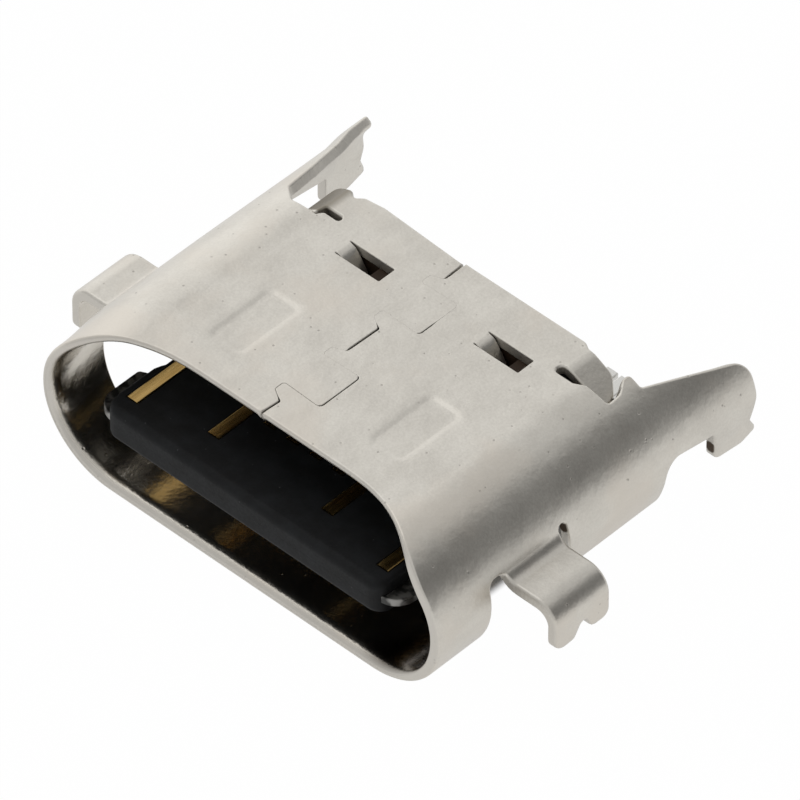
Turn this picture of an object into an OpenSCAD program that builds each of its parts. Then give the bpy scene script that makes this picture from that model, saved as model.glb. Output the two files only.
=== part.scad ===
// Board-mounted charging receptacle: a folded sheet shell round a moulded tongue with sixteen contacts.
// Each sub-part is drawn with the lower lip of the mouth at y = 0 and the mouth's axis at z = 0.
// seat() then moves it so that the flat bottom lies on z = 0 and the origin is under the middle.

/* [Mouth] */
// Inside width of the oval mouth
mouth_w = 8.34; // [7.8:0.02:9.2]
// Inside height of the oval mouth
mouth_h = 2.56; // [2.4:0.02:2.9]
// Thickness of the shell's sheet
sheet = 0.2; // [0.16:0.01:0.24]
// How far the upper lip stands back from the lower lip
lip_back = 0.8; // [0.3:0.05:1.0]

/* [Shell] */
// Depth of the closed ring behind the lower lip
ring_depth = 1.24; // [1.1:0.02:1.3]
// Depth of the top plate's rear edge behind the lower lip
top_depth = 5.52; // [5.4:0.02:5.8]
// Overall depth, to the ends of the rear wings
depth = 7.44; // [7.2:0.02:7.8]
// Half width of the flat bottom plate behind the ring
bottom_half = 2.75; // [2.4:0.05:2.85]
// Lower edge of the rear side walls, below the mouth's axis
skirt = 0.54; // [0.4:0.02:0.6]

/* [Tabs and wings] */
// Reach of each mounting tab from the middle plane
tab_reach = 5.4; // [5.2:0.05:5.6]
// Length of each tab along the depth
tab_len = 1.28; // [1.15:0.01:1.35]
// How far the feet drop below the board's face
foot_drop = 0.64; // [0.5:0.02:0.8]
// Height of the board's face above the mouth's axis
board_z = 0.1; // [0.0:0.02:0.14]

/* [Top plate details] */
// Width of the slit where the two edges of the sheet meet
seam_gap = 0.03; // [0.02:0.005:0.05]
// Depth of the two pressed pads
pad_sink = 0.05; // [0.02:0.01:0.08]
// Length of each window along the width
window_len = 1.05; // [0.8:0.01:1.1]
// Width of each window along the depth
window_w = 0.35; // [0.3:0.01:0.4]

/* [Tongue] */
// Width of the moulded tongue
tongue_w = 6.06; // [6.0:0.02:6.3]
// Thickness of the tongue
tongue_t = 0.7; // [0.66:0.01:0.74]
// Width of the steel plate inside the tongue
plate_w = 6.69; // [6.69:0.01:6.8]
// Thickness of the steel plate
plate_t = 0.15; // [0.1:0.01:0.18]
// Width of each contact
contact_w = 0.24; // [0.2:0.01:0.26]
// Thickness of each contact
contact_t = 0.12; // [0.1:0.01:0.14]
// Depth of the ends of the solder tails behind the lower lip
tail_depth = 6.3; // [6.1:0.05:6.6]

/* [Hidden] */
$fn = 64;
EPS = 0.01;
ROWS = ["upper", "lower"];
CONTACTS = [for (row = ROWS) for (i = [1:8]) str(row, "_contact_", i)];

// Radii of the shell's rounded sides and the places they spring from
r_in = mouth_h / 2;
r_out = r_in + sheet;
flat_half = (mouth_w - mouth_h) / 2;
side_x = flat_half + r_out;
reach = 2 * side_x;

// Upper lip: full set-back inside lip_x0, none outside lip_x1
lip_run_in = 1.69;
lip_run_out = 1.16;
lip_power = 1.75;
lip_x0 = flat_half - lip_run_in;
lip_x1 = flat_half + lip_run_out;

// Mounting tabs, with a notch ahead of each and one behind it
front_notch_w = 0.34;
front_notch_rise = 0.18;
rear_notch_w = 0.16;
rear_notch_rise = 0.1;
tab_y0 = ring_depth + front_notch_w;
tab_y1 = tab_y0 + tab_len;
tab_top = board_z + sheet;
tab_bend = 0.15;
tab_knee = 0.18;
bend_z = tab_top + tab_bend;
front_notch = bend_z + front_notch_rise;
rear_notch = bend_z + rear_notch_rise;
wall_y0 = tab_y1 + rear_notch_w;
foot_z = board_z - foot_drop;

// Straps at the rear corners of the top plate
strap_in = 0.44;
strap_out = 0.41;
strap_bend = 0.6;
strap_len = 0.76;
slot_w = 0.1;
strap_step = 0.08;
strap_drop = 0.38;
strap_x = flat_half - strap_in;
strap_reach = flat_half + strap_out;
slot_y = top_depth - strap_len;
strap_y0 = slot_y + slot_w;
strap_y1 = top_depth - strap_step;
strap_tip = r_in - strap_drop;

// Strips beside the straps, left and right: angle of the cut edge from the top of the rounded side
STRIP_ANGLE = [30, 18];
function strip_x(i) = flat_half + r_out * sin(STRIP_ANGLE[i]);

// Rear wings, seen from the side
wing_step = 0.05;
wing_rise = 0.06;
wing_foot_len = 1.22;
wing_foot_drop = 0.52;
wing_nib_drop = 0.24;
wing_tilt = 37;
wing_low = tab_top;
wing_y0 = top_depth - wing_step;
wing_foot_y = depth - wing_foot_len;
wing_foot_z = board_z - wing_foot_drop;
wing_nib_z = board_z - wing_nib_drop;
wing_front_w = r_out * sin(wing_tilt - 27);
wing_end_w = r_out * sin(wing_tilt - 50);

// Top plate details
window_x = 1.02;
window_back = 1.25;
window_y = top_depth - window_back;
flap_len = 0.42;
flap_drop = 0.38;
flap_gap = 0.02;
pad_x0 = 1.4;
pad_x1 = 2.12;
pad_y0 = 1.52;
pad_y1 = 2.95;
seam_x = -0.27;
key_y = [2.03, 4.28];
key_half = 0.52;
key_reach = 0.33;
bottom_step = 0.22;
bottom_depth = top_depth - bottom_step;

// Tongue and base
tail_out = 3.35;
tongue_y0 = 0.05;
base_lead = 0.17;
base_step = 0.17;
base_y0 = window_y - base_lead;
base_y1 = top_depth - base_step;
notch_y0 = 1.3;
notch_y1 = 2.25;
notch_cover = 0.06;
tongue_corner = 0.25;
plate_corner = 0.4;
plate_lead = 0.1;
plate_root = 0.5;
plate_back = 0.25;
tail_cover = 0.18;
insulator_base_half = tail_out + contact_w / 2 + tail_cover;
fit_gap = 0.02;
base_low = skirt - 2 * fit_gap;
base_corner_in = 0.36;
base_corner_z = 0.5;
pocket_gap = 0.05;
pocket_len = 0.72;
pocket_room = 0.28;
pocket_z = r_out - flap_drop - sheet - pocket_room;
fan_lead = 0.35;
fan_back = 0.3;
fan_y0 = base_y0 + fan_lead;
fan_y1 = base_y1 - fan_back;

// Contacts of one row, from the middle out: place on the tongue, front end and tail of each row
CONTACT_X = [0.25, 0.75, 1.25, 2.75];
CONTACT_FRONT = [1.5, 1.5, 0.74, 0.43];
TAIL_X = [[0.25, 1.25, 2.25, tail_out - 0.3], [0.75, 1.75, 2.55, tail_out]];
notch_x = CONTACT_X[3] + contact_w / 2 + notch_cover;

// Outline with each corner [x, y, r] rounded by an arc of radius r
function rounded(corners) = [
    for (i = [0 : len(corners) - 1]) each fillet(
        corners[(i + len(corners) - 1) % len(corners)],
        corners[i],
        corners[(i + 1) % len(corners)])
];
function fillet(before, corner, after) =
    let (
        p = [corner.x, corner.y],
        r = corner[2],
        u = unit([before.x, before.y] - p),
        w = unit([after.x, after.y] - p),
        half = acos(u * w) / 2,
        centre = p + unit(u + w) * r / sin(half),
        a = angle_of(p + u * r / tan(half) - centre),
        b = angle_of(p + w * r / tan(half) - centre),
        sweep = (b - a + 540) % 360 - 180,
        steps = 6
    )
    r == 0 ? [p] : [for (k = [0 : steps]) centre + r * direction(a + sweep * k / steps)];
function unit(v) = v / norm(v);
function direction(a) = [cos(a), sin(a)];
function angle_of(v) = atan2(v.y, v.x);

// Band of the given width along an open path
function band(path, width) =
    let (side = [for (i = [0 : len(path) - 1]) miter(path, i) * width / 2])
    concat(
        [for (i = [0 : len(path) - 1]) path[i] + side[i]],
        [for (i = [len(path) - 1 : -1 : 0]) path[i] - side[i]]);
function miter(path, i) =
    let (
        back = unit(path[i] - path[max(i - 1, 0)] + (i == 0 ? path[1] - path[0] : [0, 0])),
        last = len(path) - 1,
        ahead = unit(path[min(i + 1, last)] - path[i] + (i == last ? path[last] - path[last - 1] : [0, 0])),
        along = unit(back + ahead)
    )
    [-along.y, along.x] / (along * ahead);

// Set-back of the upper lip at a distance x from the middle plane
function lip(x) =
    abs(x) <= lip_x0 ? lip_back
    : abs(x) >= lip_x1 ? 0
    : lip_back * (1 + cos(180 * pow((abs(x) - lip_x0) / (lip_x1 - lip_x0), lip_power))) / 2;

// Path of the seam round one dovetail key
function key_path(y) = [
    [seam_x, y - key_half - 0.33],
    [seam_x - 0.21, y - key_half - 0.15],
    [seam_x - 0.19, y - key_half + 0.07],
    [seam_x + 0.1, y - key_half + 0.09],
    [key_reach - 0.11, y - key_half],
    [key_reach, y - key_half + 0.11],
    [key_reach, y + key_half - 0.11],
    [key_reach - 0.11, y + key_half],
    [seam_x + 0.1, y + key_half - 0.09],
    [seam_x - 0.19, y + key_half - 0.07],
    [seam_x - 0.21, y + key_half + 0.15],
    [seam_x, y + key_half + 0.33],
];

// Moves a sub-part from the mouth's axis to the part's own frame
module seat() {
    translate([0, -depth / 2, r_out]) children();
}

// Drawing in x and z, carried along the depth
module along_y(y0, y1) {
    translate([0, y1, 0]) rotate([90, 0, 0]) linear_extrude(y1 - y0) children();
}

// Drawing in y and z, carried along the width
module along_x(x0, x1) {
    translate([x0, 0, 0]) rotate([90, 0, 90]) linear_extrude(x1 - x0) children();
}

// Drawing in x and y, carried upwards
module along_z(z0, z1) {
    translate([0, 0, z0]) linear_extrude(z1 - z0) children();
}

module both_sides() {
    children();
    mirror([1, 0, 0]) children();
}

module oval(w, h) {
    square([w - h, h], center = true);
    for (s = [-1, 1]) translate([s * (w - h) / 2, 0]) circle(d = h);
}

module box(low, high) {
    translate(low) cube(high - low);
}

module tube() {
    along_y(0, depth) difference() {
        oval(mouth_w + 2 * sheet, mouth_h + 2 * sheet);
        oval(mouth_w, mouth_h);
    }
}

// Side view of what stays of each wall behind the ring
module wall_outline() {
    difference() {
        polygon(rounded([
            [ring_depth, -skirt, 0],
            [slot_y + 0.37, -skirt, 0.12],
            [slot_y + 0.5, wing_low + wing_rise, 0.28],
            [wing_foot_y, wing_low - wing_rise, 0.06],
            [wing_foot_y, wing_foot_z + wing_rise, 0.2],
            [depth - 0.44, wing_foot_z - 0.02, 0.2],
            [depth - 0.07, wing_foot_z + 0.09, 0.07],
            [depth - 0.12, wing_nib_z, 0.08],
            [depth, wing_low, 0.2],
            [depth, r_out + 1, 0],
            [ring_depth, r_out + 1, 0],
        ]));
        tab_opening();
    }
}

// Side view of the opening that the tab is bent out of, with a round-topped notch at each end
module tab_opening() {
    translate([ring_depth, -r_out]) square([wall_y0 - ring_depth, r_out + bend_z]);
    notch(ring_depth, tab_y0, front_notch);
    notch(tab_y1, wall_y0, rear_notch);
}

module notch(y0, y1, top) {
    r = (y1 - y0) / 2;
    translate([y0, 0]) square([y1 - y0, top - r]);
    translate([y0 + r, top - r]) circle(r);
}

// Cut along the top of a wing, square to the sheet, with the wing's rounded end
module wing_top_cut() {
    translate([flat_half, 0, 0]) rotate([0, wing_tilt - 90, 0]) along_x(0, reach) difference() {
        translate([wing_y0 - 0.04, -r_out]) square([depth + 1 - wing_y0, reach]);
        polygon(rounded([
            [wing_y0 - 1, -reach, 0],
            [depth, -reach, 0],
            [depth, wing_end_w, 0.4],
            [wing_y0, wing_front_w, 0.05],
            [wing_y0 - 0.04, wing_front_w + 1, 0],
            [wing_y0 - 1, wing_front_w + 1, 0],
        ]));
    }
}

// What is cut from the tube behind the ring, on the left and on the right
module trimmed_away() {
    for (i = [0, 1]) mirror([1 - i, 0, 0]) {
        along_x(flat_half, reach) difference() {
            translate([ring_depth, -reach]) square([depth + 1 - ring_depth, 2 * reach]);
            wall_outline();
        }
        wing_top_cut();
        box([strap_x, slot_y, 0], [strip_x(i), depth + 1, reach]);
        box([bottom_half, ring_depth, -reach], [flat_half + EPS, depth + 1, 0]);
    }
    box([-strap_x - EPS, top_depth, 0], [strap_x + EPS, depth + 1, reach]);
    box([-reach, bottom_depth, -reach], [reach, depth + 1, -skirt]);
}

module upper_lip_cut() {
    steps = 32;
    xs = [for (k = [0 : steps]) -lip_x1 + 2 * lip_x1 * k / steps];
    along_z(0, reach) polygon(concat(
        [for (x = xs) [x, lip(x)]],
        [[lip_x1, -1], [-lip_x1, -1]]));
}

module seam_cut() {
    path = concat(
        [[seam_x, 0]],
        key_path(key_y[0]),
        key_path(key_y[1]),
        [[seam_x, top_depth + 1]]);
    along_z(0, reach) polygon(band(path, seam_gap));
}

module window_cut(x0) {
    along_z(0, reach) translate([x0, window_y]) square([window_len, window_w]);
}

// Flap lanced from the left end of a window and pressed down
module flap(x0) {
    drop = [flap_len, -flap_drop];
    across = sheet * unit([drop.y, -drop.x]);
    along_y(window_y + flap_gap, window_y + window_w - flap_gap) translate([x0, r_out]) polygon([
        [-sheet, 0],
        [0, 0],
        drop,
        drop + across,
        [across.x, -sheet],
        [-sheet, -sheet],
    ]);
}

module pad_outline() {
    polygon(rounded([
        [pad_x0, pad_y0, 0.15],
        [pad_x1, pad_y0, 0.15],
        [pad_x1, pad_y1, 0.15],
        [pad_x0, pad_y1, 0.15],
    ]));
}

// Section through a quarter bend of the sheet about the origin, in the quadrant of the signs sx and sy
module quarter_bend(r, sx, sy) {
    intersection() {
        difference() {
            circle(r + sheet);
            circle(r);
        }
        translate([sx > 0 ? 0 : -reach, sy > 0 ? 0 : -reach]) square(reach);
    }
}

// Mounting tab: out from the wall, level over the board, then down into a two-lobed foot
module tab() {
    wall_x = flat_half + sqrt(r_out * r_out - bend_z * bend_z);
    intersection() {
        along_y(tab_y0, tab_y1) {
            translate([wall_x - sheet, bend_z - EPS]) square([sheet, 0.08]);
            translate([wall_x + tab_bend, bend_z]) quarter_bend(tab_bend, -1, -1);
            translate([wall_x + tab_bend, board_z])
                square([tab_reach - sheet - tab_knee - wall_x - tab_bend, sheet]);
            translate([tab_reach - sheet - tab_knee, board_z - tab_knee]) quarter_bend(tab_knee, 1, 1);
            translate([tab_reach - sheet, foot_z - EPS]) square([sheet, board_z - tab_knee - foot_z + EPS]);
        }
        along_x(flat_half, reach) foot_outline();
    }
}

// Side view of the tab and its foot
module foot_outline() {
    polygon(rounded([
        [tab_y0, 1, 0],
        [tab_y0, foot_z, 0.18],
        [tab_y0 + 0.34 * tab_len, foot_z, 0.16],
        [tab_y0 + 0.47 * tab_len, foot_z + 0.27, 0.1],
        [tab_y0 + 0.62 * tab_len, foot_z + 0.2, 0.08],
        [tab_y0 + 0.69 * tab_len, foot_z, 0.1],
        [tab_y1, foot_z, 0.2],
        [tab_y1, 1, 0],
    ]));
}

// Strap: the top plate's rear corner, bent down to hold the base
module strap() {
    bend_x = strap_reach - sheet - strap_bend;
    bend_at_z = r_in - strap_bend;
    intersection() {
        along_y(strap_y0, strap_y1) {
            translate([strap_x - EPS, r_in]) square([bend_x - strap_x + EPS, sheet]);
            translate([bend_x, bend_at_z]) quarter_bend(strap_bend, 1, 1);
        }
        along_x(0, reach) polygon(rounded([
            [strap_y0, reach, 0],
            [strap_y0, strap_tip, 0.22],
            [strap_y1, strap_tip, 0.26],
            [strap_y1, reach, 0],
        ]));
    }
}

module shell() {
    color([0.79, 0.77, 0.74]) seat() {
        difference() {
            union() {
                difference() {
                    tube();
                    trimmed_away();
                }
                both_sides() {
                    tab();
                    strap();
                    along_z(r_in - pad_sink, r_in + EPS) pad_outline();
                }
            }
            upper_lip_cut();
            seam_cut();
            window_cut(-window_x - window_len);
            window_cut(window_x);
            both_sides() along_z(r_out - pad_sink, reach) pad_outline();
        }
        flap(-window_x - window_len);
        flap(window_x);
    }
}

// Plan of the tongue and the foot of one insulator, or of the plate, which is wider
module tongue_plan(half, front, corner, back, back_half) {
    polygon(rounded([
        [-half, front, corner],
        [half, front, corner],
        [half, notch_y0 - 0.12, 0.08],
        [notch_x, notch_y0 + 0.08, 0.08],
        [notch_x, notch_y1 - 0.08, 0.08],
        [half, notch_y1 + 0.12, 0.08],
        [half, base_y0, 0],
        [back_half, base_y0, 0],
        [back_half, back, 0],
        [-back_half, back, 0],
        [-back_half, base_y0, 0],
        [-half, base_y0, 0],
        [-half, notch_y1 + 0.12, 0.08],
        [-notch_x, notch_y1 - 0.08, 0.08],
        [-notch_x, notch_y0 + 0.08, 0.08],
        [-half, notch_y0 - 0.12, 0.08],
    ]));
}

module mid_plate() {
    color([0.7, 0.7, 0.69]) seat() plate_solid();
}

module plate_solid() {
    half = plate_w / 2;
    along_z(-plate_t / 2, plate_t / 2)
        tongue_plan(half, tongue_y0 + plate_lead, plate_corner, base_y1 - plate_back, half - plate_root);
}

// One contact: row 0 lies on top of the tongue and row 1 under it, i counts from the middle, side is -1 or 1
module contact_solid(row, i, side) {
    z_low = row == 0 ? tongue_t / 2 - contact_t : -tongue_t / 2;
    x0 = side * CONTACT_X[i];
    x1 = side * TAIL_X[row][i];
    h = contact_w / 2;
    along_z(z_low, z_low + contact_t) polygon([
        [x0 - h, CONTACT_FRONT[i]],
        [x0 + h, CONTACT_FRONT[i]],
        [x0 + h, fan_y0],
        [x1 + h, fan_y1],
        [x1 + h, fan_y1 + EPS],
        [x1 - h, fan_y1 + EPS],
        [x1 - h, fan_y1],
        [x0 - h, fan_y0],
    ]);
    along_x(x1 - h, x1 + h) polygon(row == 0 ? upper_tail(z_low) : lower_tail(z_low));
}

// Side view of an upper contact from the base to the end of its solder tail
function upper_tail(z_low) = [
    [fan_y1, z_low],
    [base_y1 + 0.05, z_low],
    [base_y1 + 0.2, board_z],
    [tail_depth, board_z],
    [tail_depth, board_z + contact_t],
    [base_y1 + 0.25, board_z + contact_t],
    [base_y1 + 0.1, z_low + contact_t],
    [fan_y1, z_low + contact_t],
];

// Side view of a lower contact, which climbs behind the base to the board's face
function lower_tail(z_low) = [
    [fan_y1, z_low],
    [base_y1 + 0.1 + contact_t, z_low],
    [base_y1 + 0.1 + contact_t, board_z],
    [tail_depth, board_z],
    [tail_depth, board_z + contact_t],
    [base_y1 + 0.1, board_z + contact_t],
    [base_y1 + 0.1, z_low + contact_t],
    [fan_y1, z_low + contact_t],
];

// Contacts 1 to 4 run from the left edge to the middle, 5 to 8 from the middle to the right edge
module row_contact(row, number) {
    side = number <= 4 ? -1 : 1;
    i = number <= 4 ? 4 - number : number - 5;
    contact_solid(row, i, side);
}

module row_contacts(row) {
    for (number = [1 : 8]) row_contact(row, number);
}

module insulator_plan() {
    tongue_plan(tongue_w / 2, tongue_y0, tongue_corner, base_y1, insulator_base_half);
}

// Half of the tongue on one side of the plate
module upper_insulator() {
    color([0.09, 0.09, 0.1]) seat() difference() {
        along_z(0, tongue_t / 2) insulator_plan();
        plate_solid();
        row_contacts(0);
    }
}

module lower_insulator() {
    color([0.09, 0.09, 0.1]) seat() difference() {
        along_z(-tongue_t / 2, 0) insulator_plan();
        plate_solid();
        row_contacts(1);
    }
}

// Block moulded round the root of the tongue, filling the shell's rear
module base_overmould() {
    color([0.07, 0.07, 0.08]) seat() difference() {
        along_y(base_y0, base_y1) difference() {
            intersection() {
                oval(mouth_w - 2 * fit_gap, mouth_h);
                union() {
                    translate([-reach, -base_low]) square([2 * reach, reach]);
                    square([2 * bottom_half - 0.1, 2 * reach], center = true);
                }
            }
            square([2 * insulator_base_half, tongue_t], center = true);
        }
        both_sides() {
            box([strap_x - slot_w, slot_y - slot_w, strap_tip - pocket_gap], [reach, base_y1 + 1, reach]);
            box([flat_half + base_corner_in, slot_y - slot_w, base_corner_z], [reach, base_y1 + 1, reach]);
        }
        for (x0 = [-window_x - window_len, window_x])
            box([x0 - sheet, window_y - pocket_gap, pocket_z],
                [x0 + pocket_len, window_y + window_w + pocket_gap, reach]);
    }
}

// Contacts of both rows, plated
module contact(row, number) {
    color([0.78, 0.62, 0.3]) seat() row_contact(row, number);
}

shell();
base_overmould();
upper_insulator();
lower_insulator();
mid_plate();
for (row = [0, 1]) for (number = [1 : 8])
    contact(row, number);
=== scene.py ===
"""Looks of a board-mounted charging receptacle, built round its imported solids.

The receptacle is a folded sheet shell, a moulded tongue round a steel plate, a moulded base
and two rows of plated contacts. Sizes are in millimetres, with the lower lip of the mouth at
y = 0 and the mouth's axis at z = 0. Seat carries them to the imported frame, in metres.
"""

import logging
import math
from dataclasses import dataclass
from enum import Enum
from typing import Callable, NamedTuple, Sequence

import bpy
import numpy as np
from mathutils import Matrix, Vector
from mathutils.geometry import delaunay_2d_cdt


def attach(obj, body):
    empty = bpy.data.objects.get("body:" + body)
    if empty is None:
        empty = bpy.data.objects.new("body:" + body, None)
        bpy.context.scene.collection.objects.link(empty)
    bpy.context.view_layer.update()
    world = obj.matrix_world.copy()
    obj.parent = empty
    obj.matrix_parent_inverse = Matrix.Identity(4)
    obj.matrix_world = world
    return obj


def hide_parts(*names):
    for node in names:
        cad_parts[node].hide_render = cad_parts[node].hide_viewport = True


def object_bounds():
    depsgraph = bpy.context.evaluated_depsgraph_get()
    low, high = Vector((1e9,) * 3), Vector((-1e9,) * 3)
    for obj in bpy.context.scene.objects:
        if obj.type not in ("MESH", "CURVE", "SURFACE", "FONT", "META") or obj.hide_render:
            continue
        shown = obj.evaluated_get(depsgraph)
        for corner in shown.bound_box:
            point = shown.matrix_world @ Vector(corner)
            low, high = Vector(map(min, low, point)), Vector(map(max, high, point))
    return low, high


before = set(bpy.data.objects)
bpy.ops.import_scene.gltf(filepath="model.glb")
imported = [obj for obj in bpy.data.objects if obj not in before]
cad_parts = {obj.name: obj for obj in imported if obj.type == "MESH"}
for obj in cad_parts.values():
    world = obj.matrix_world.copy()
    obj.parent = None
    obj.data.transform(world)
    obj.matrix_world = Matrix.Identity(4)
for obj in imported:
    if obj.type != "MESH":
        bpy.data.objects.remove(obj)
CAD_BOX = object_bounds()
LOG = logging.getLogger("receptacle")
MM = 0.001
BODY = "root"

Pair = tuple[float, float]
Triple = tuple[float, float, float]
Colour = Triple
Material = bpy.types.Material
Piece = bpy.types.Object
Socket = bpy.types.NodeSocket
Surface = Callable[[np.ndarray], tuple[np.ndarray, np.ndarray]]


class Side(Enum):
    """Side of the part, seen from the mouth."""

    LEFT = -1
    RIGHT = 1


class Row(Enum):
    """Row of contacts, by the face of the tongue that it lies on."""

    UPPER = 1
    LOWER = -1


class Corner(NamedTuple):
    """Corner of an outline and the radius that rounds it, in mm."""

    x: float
    y: float
    r: float = 0.0


@dataclass(frozen=True)
class Seat:
    """Carries points from the mouth's axis, in mm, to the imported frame, in metres."""

    lip_y: float
    axis_z: float

    @classmethod
    def from_box(cls, low: Vector, high: Vector) -> "Seat":
        """The lower lip is the box's front face, and the axis lies half way up."""
        return cls(low.y, (low.z + high.z) / 2)

    def place(self, points: np.ndarray) -> np.ndarray:
        """Points of the part in metres, from points in mm."""
        return np.asarray(points, float) * MM + np.array([0.0, self.lip_y, self.axis_z])


# Outlines

ARC_STEP = math.radians(14)
STRAIGHT_STEP = 0.07
# Least length that counts, mm, and least turn that an arc rounds
LEAST_LENGTH = 1e-6
LEAST_TURN = 1e-3
# Limit of the step at a sharp corner, and how many points are tested at once
LEAST_LEAN = 0.3
BATCH = 1000


def fillet(before: Corner, corner: Corner, after: Corner) -> list[np.ndarray]:
    """Points of the arc that rounds one corner.

    Args:
        before: The corner ahead of it on the outline.
        corner: The corner to round.
        after: The corner behind it on the outline.

    Returns:
        The arc's points, or the corner alone where it has no radius.
    """
    point = np.array(corner[:2])
    back = np.array(before[:2]) - point
    ahead = np.array(after[:2]) - point
    back_length, ahead_length = np.linalg.norm(back), np.linalg.norm(ahead)
    back, ahead = back / back_length, ahead / ahead_length
    half = math.acos(float(np.clip(back @ ahead, -1, 1))) / 2
    if corner.r <= 0 or math.cos(half) < LEAST_TURN:
        return [point]
    cut = min(corner.r / math.tan(half), 0.5 * back_length, 0.5 * ahead_length)
    radius = cut * math.tan(half)
    middle = (back + ahead) / np.linalg.norm(back + ahead)
    centre = point + middle * radius / math.sin(half)
    start = math.atan2(*(point + back * cut - centre)[::-1])
    end = math.atan2(*(point + ahead * cut - centre)[::-1])
    sweep = (end - start + 3 * math.pi) % (2 * math.pi) - math.pi
    steps = max(3, math.ceil(abs(sweep) / ARC_STEP), math.ceil(abs(sweep) * radius / STRAIGHT_STEP))
    angles = start + sweep * np.linspace(0, 1, steps + 1)
    return [centre + radius * np.array([math.cos(a), math.sin(a)]) for a in angles]


def split_straights(points: np.ndarray, closed: bool, step: float = STRAIGHT_STEP) -> np.ndarray:
    """Adds points along the long stretches of an outline and drops doubled points.

    Args:
        points: The outline's points.
        closed: Whether the last point joins the first.
        step: The longest stretch that is left whole.

    Returns:
        The outline's points, evenly spaced on each straight.
    """
    ends = np.vstack([points[1:], points[:1]]) if closed else points[1:]
    made = []
    for start, end in zip(points, ends):
        length = np.linalg.norm(end - start)
        if length < LEAST_LENGTH:
            continue
        count = max(1, math.ceil(length / step - LEAST_LENGTH))
        made.extend(start + (end - start) * k / count for k in range(count))
    if not closed:
        made.append(points[-1])
    return np.array(made)


def rounded(corners: Sequence[Corner], closed: bool = True) -> np.ndarray:
    """Outline with each corner rounded by an arc.

    Args:
        corners: The outline's corners in order.
        closed: Whether the last corner joins the first; the ends of an open outline stay sharp.

    Returns:
        The outline's points.
    """
    points: list[np.ndarray] = []
    last = len(corners) - 1
    for i, corner in enumerate(corners):
        if not closed and i in (0, last):
            points.append(np.array(corner[:2]))
        else:
            points.extend(fillet(corners[i - 1], corner, corners[(i + 1) % len(corners)]))
    return split_straights(np.array(points), closed)


def rectangle(x0: float, y0: float, x1: float, y1: float, r: float) -> list[Corner]:
    """Corners of a rounded rectangle, anticlockwise."""
    return [Corner(x0, y0, r), Corner(x1, y0, r), Corner(x1, y1, r), Corner(x0, y1, r)]


def lattice(x0: float, x1: float, y0: float, y1: float, dx: float, dy: float) -> np.ndarray:
    """Points of an even grid over a rectangle, about dx and dy apart."""
    xs = np.linspace(x0, x1, max(2, math.ceil((x1 - x0) / dx) + 1))
    ys = np.linspace(y0, y1, max(2, math.ceil((y1 - y0) / dy) + 1))
    return np.stack(np.meshgrid(xs, ys), -1).reshape(-1, 2)


def smooth(share: np.ndarray) -> np.ndarray:
    """Smooth rise from 0 at 0 to 1 at 1."""
    share = np.clip(share, 0, 1)
    return share * share * (3 - 2 * share)


def placed(name: str, data: bpy.types.ID) -> Piece:
    """A new object with the given data, put into the scene."""
    made = bpy.data.objects.new(name, data)
    bpy.context.scene.collection.objects.link(made)
    return made


# Closed sheets with rounded edges


@dataclass
class Rim:
    """A closed edge of a sheet, with the material on its left.

    Attributes:
        points: The edge in the sheet's own two coordinates, mm.
        outer_round: Radius at the outer face, one for all points or one for each.
        inner_round: Height of the rounding at the inner face, likewise.
        lead_in: Length of that rounding along the sheet, or None where it is as long as high.
        pocket: Depth of the pocket that the edge bounds, or None where it goes right through.
    """

    points: np.ndarray
    outer_round: np.ndarray | float
    inner_round: np.ndarray | float = 0.01
    lead_in: np.ndarray | float | None = None
    pocket: float | None = None

    def __post_init__(self) -> None:
        """Gives each point its own radii."""
        count = len(self.points)
        self.outer_round = np.broadcast_to(self.outer_round, count).astype(float)
        self.inner_round = np.broadcast_to(self.inner_round, count).astype(float)
        lead_in = self.inner_round if self.lead_in is None else self.lead_in
        self.lead_in = np.broadcast_to(lead_in, count).astype(float)

    def turned(self, anticlockwise: bool) -> "Rim":
        """The same edge, running the given way round."""
        x, y = self.points.T
        area = np.sum(x * np.roll(y, -1) - np.roll(x, -1) * y)
        if (area > 0) == anticlockwise:
            return self
        turned = (part[::-1] for part in (self.points, self.outer_round, self.inner_round, self.lead_in))
        return Rim(*turned, self.pocket)

    def inward(self) -> np.ndarray:
        """Step into the material at each point, one mm square to both neighbouring stretches."""
        ahead = np.roll(self.points, -1, 0) - self.points
        ahead /= np.linalg.norm(ahead, axis=1)[:, None]
        behind = np.roll(ahead, 1, 0)
        both = ahead + behind
        lean = 1 + np.sum(ahead * behind, 1)
        return np.stack([-both[:, 1], both[:, 0]], 1) / np.maximum(lean, LEAST_LEAN)[:, None]

    def inset(self, by: np.ndarray) -> np.ndarray:
        """The edge moved into the material by its own distance at each point."""
        return self.points + self.inward() * by[:, None]


def inside(points: np.ndarray, loops: Sequence[np.ndarray], clear: float) -> np.ndarray:
    """Which points lie within the first loop, outside the others and clear of them all.

    Args:
        points: The points to test.
        loops: Closed outlines, the outer one first.
        clear: The least distance from a corner of any outline.

    Returns:
        A mask of the points that pass.
    """
    start = np.vstack(loops)
    end = np.vstack([np.roll(loop, -1, 0) for loop in loops])
    keep = np.zeros(len(points), bool)
    for first in range(0, len(points), BATCH):
        x, y = points[first:first + BATCH].T[:, :, None]
        spans = (start[:, 1] > y) != (end[:, 1] > y)
        rise = np.where(end[:, 1] == start[:, 1], 1, end[:, 1] - start[:, 1])
        crossing = start[:, 0] + (y - start[:, 1]) * (end[:, 0] - start[:, 0]) / rise
        odd = np.sum(spans & (x < crossing), 1) % 2 == 1
        gap = np.min((start[:, 0] - x) ** 2 + (start[:, 1] - y) ** 2, 1)
        keep[first:first + BATCH] = odd & (gap > clear ** 2)
    return keep


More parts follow.
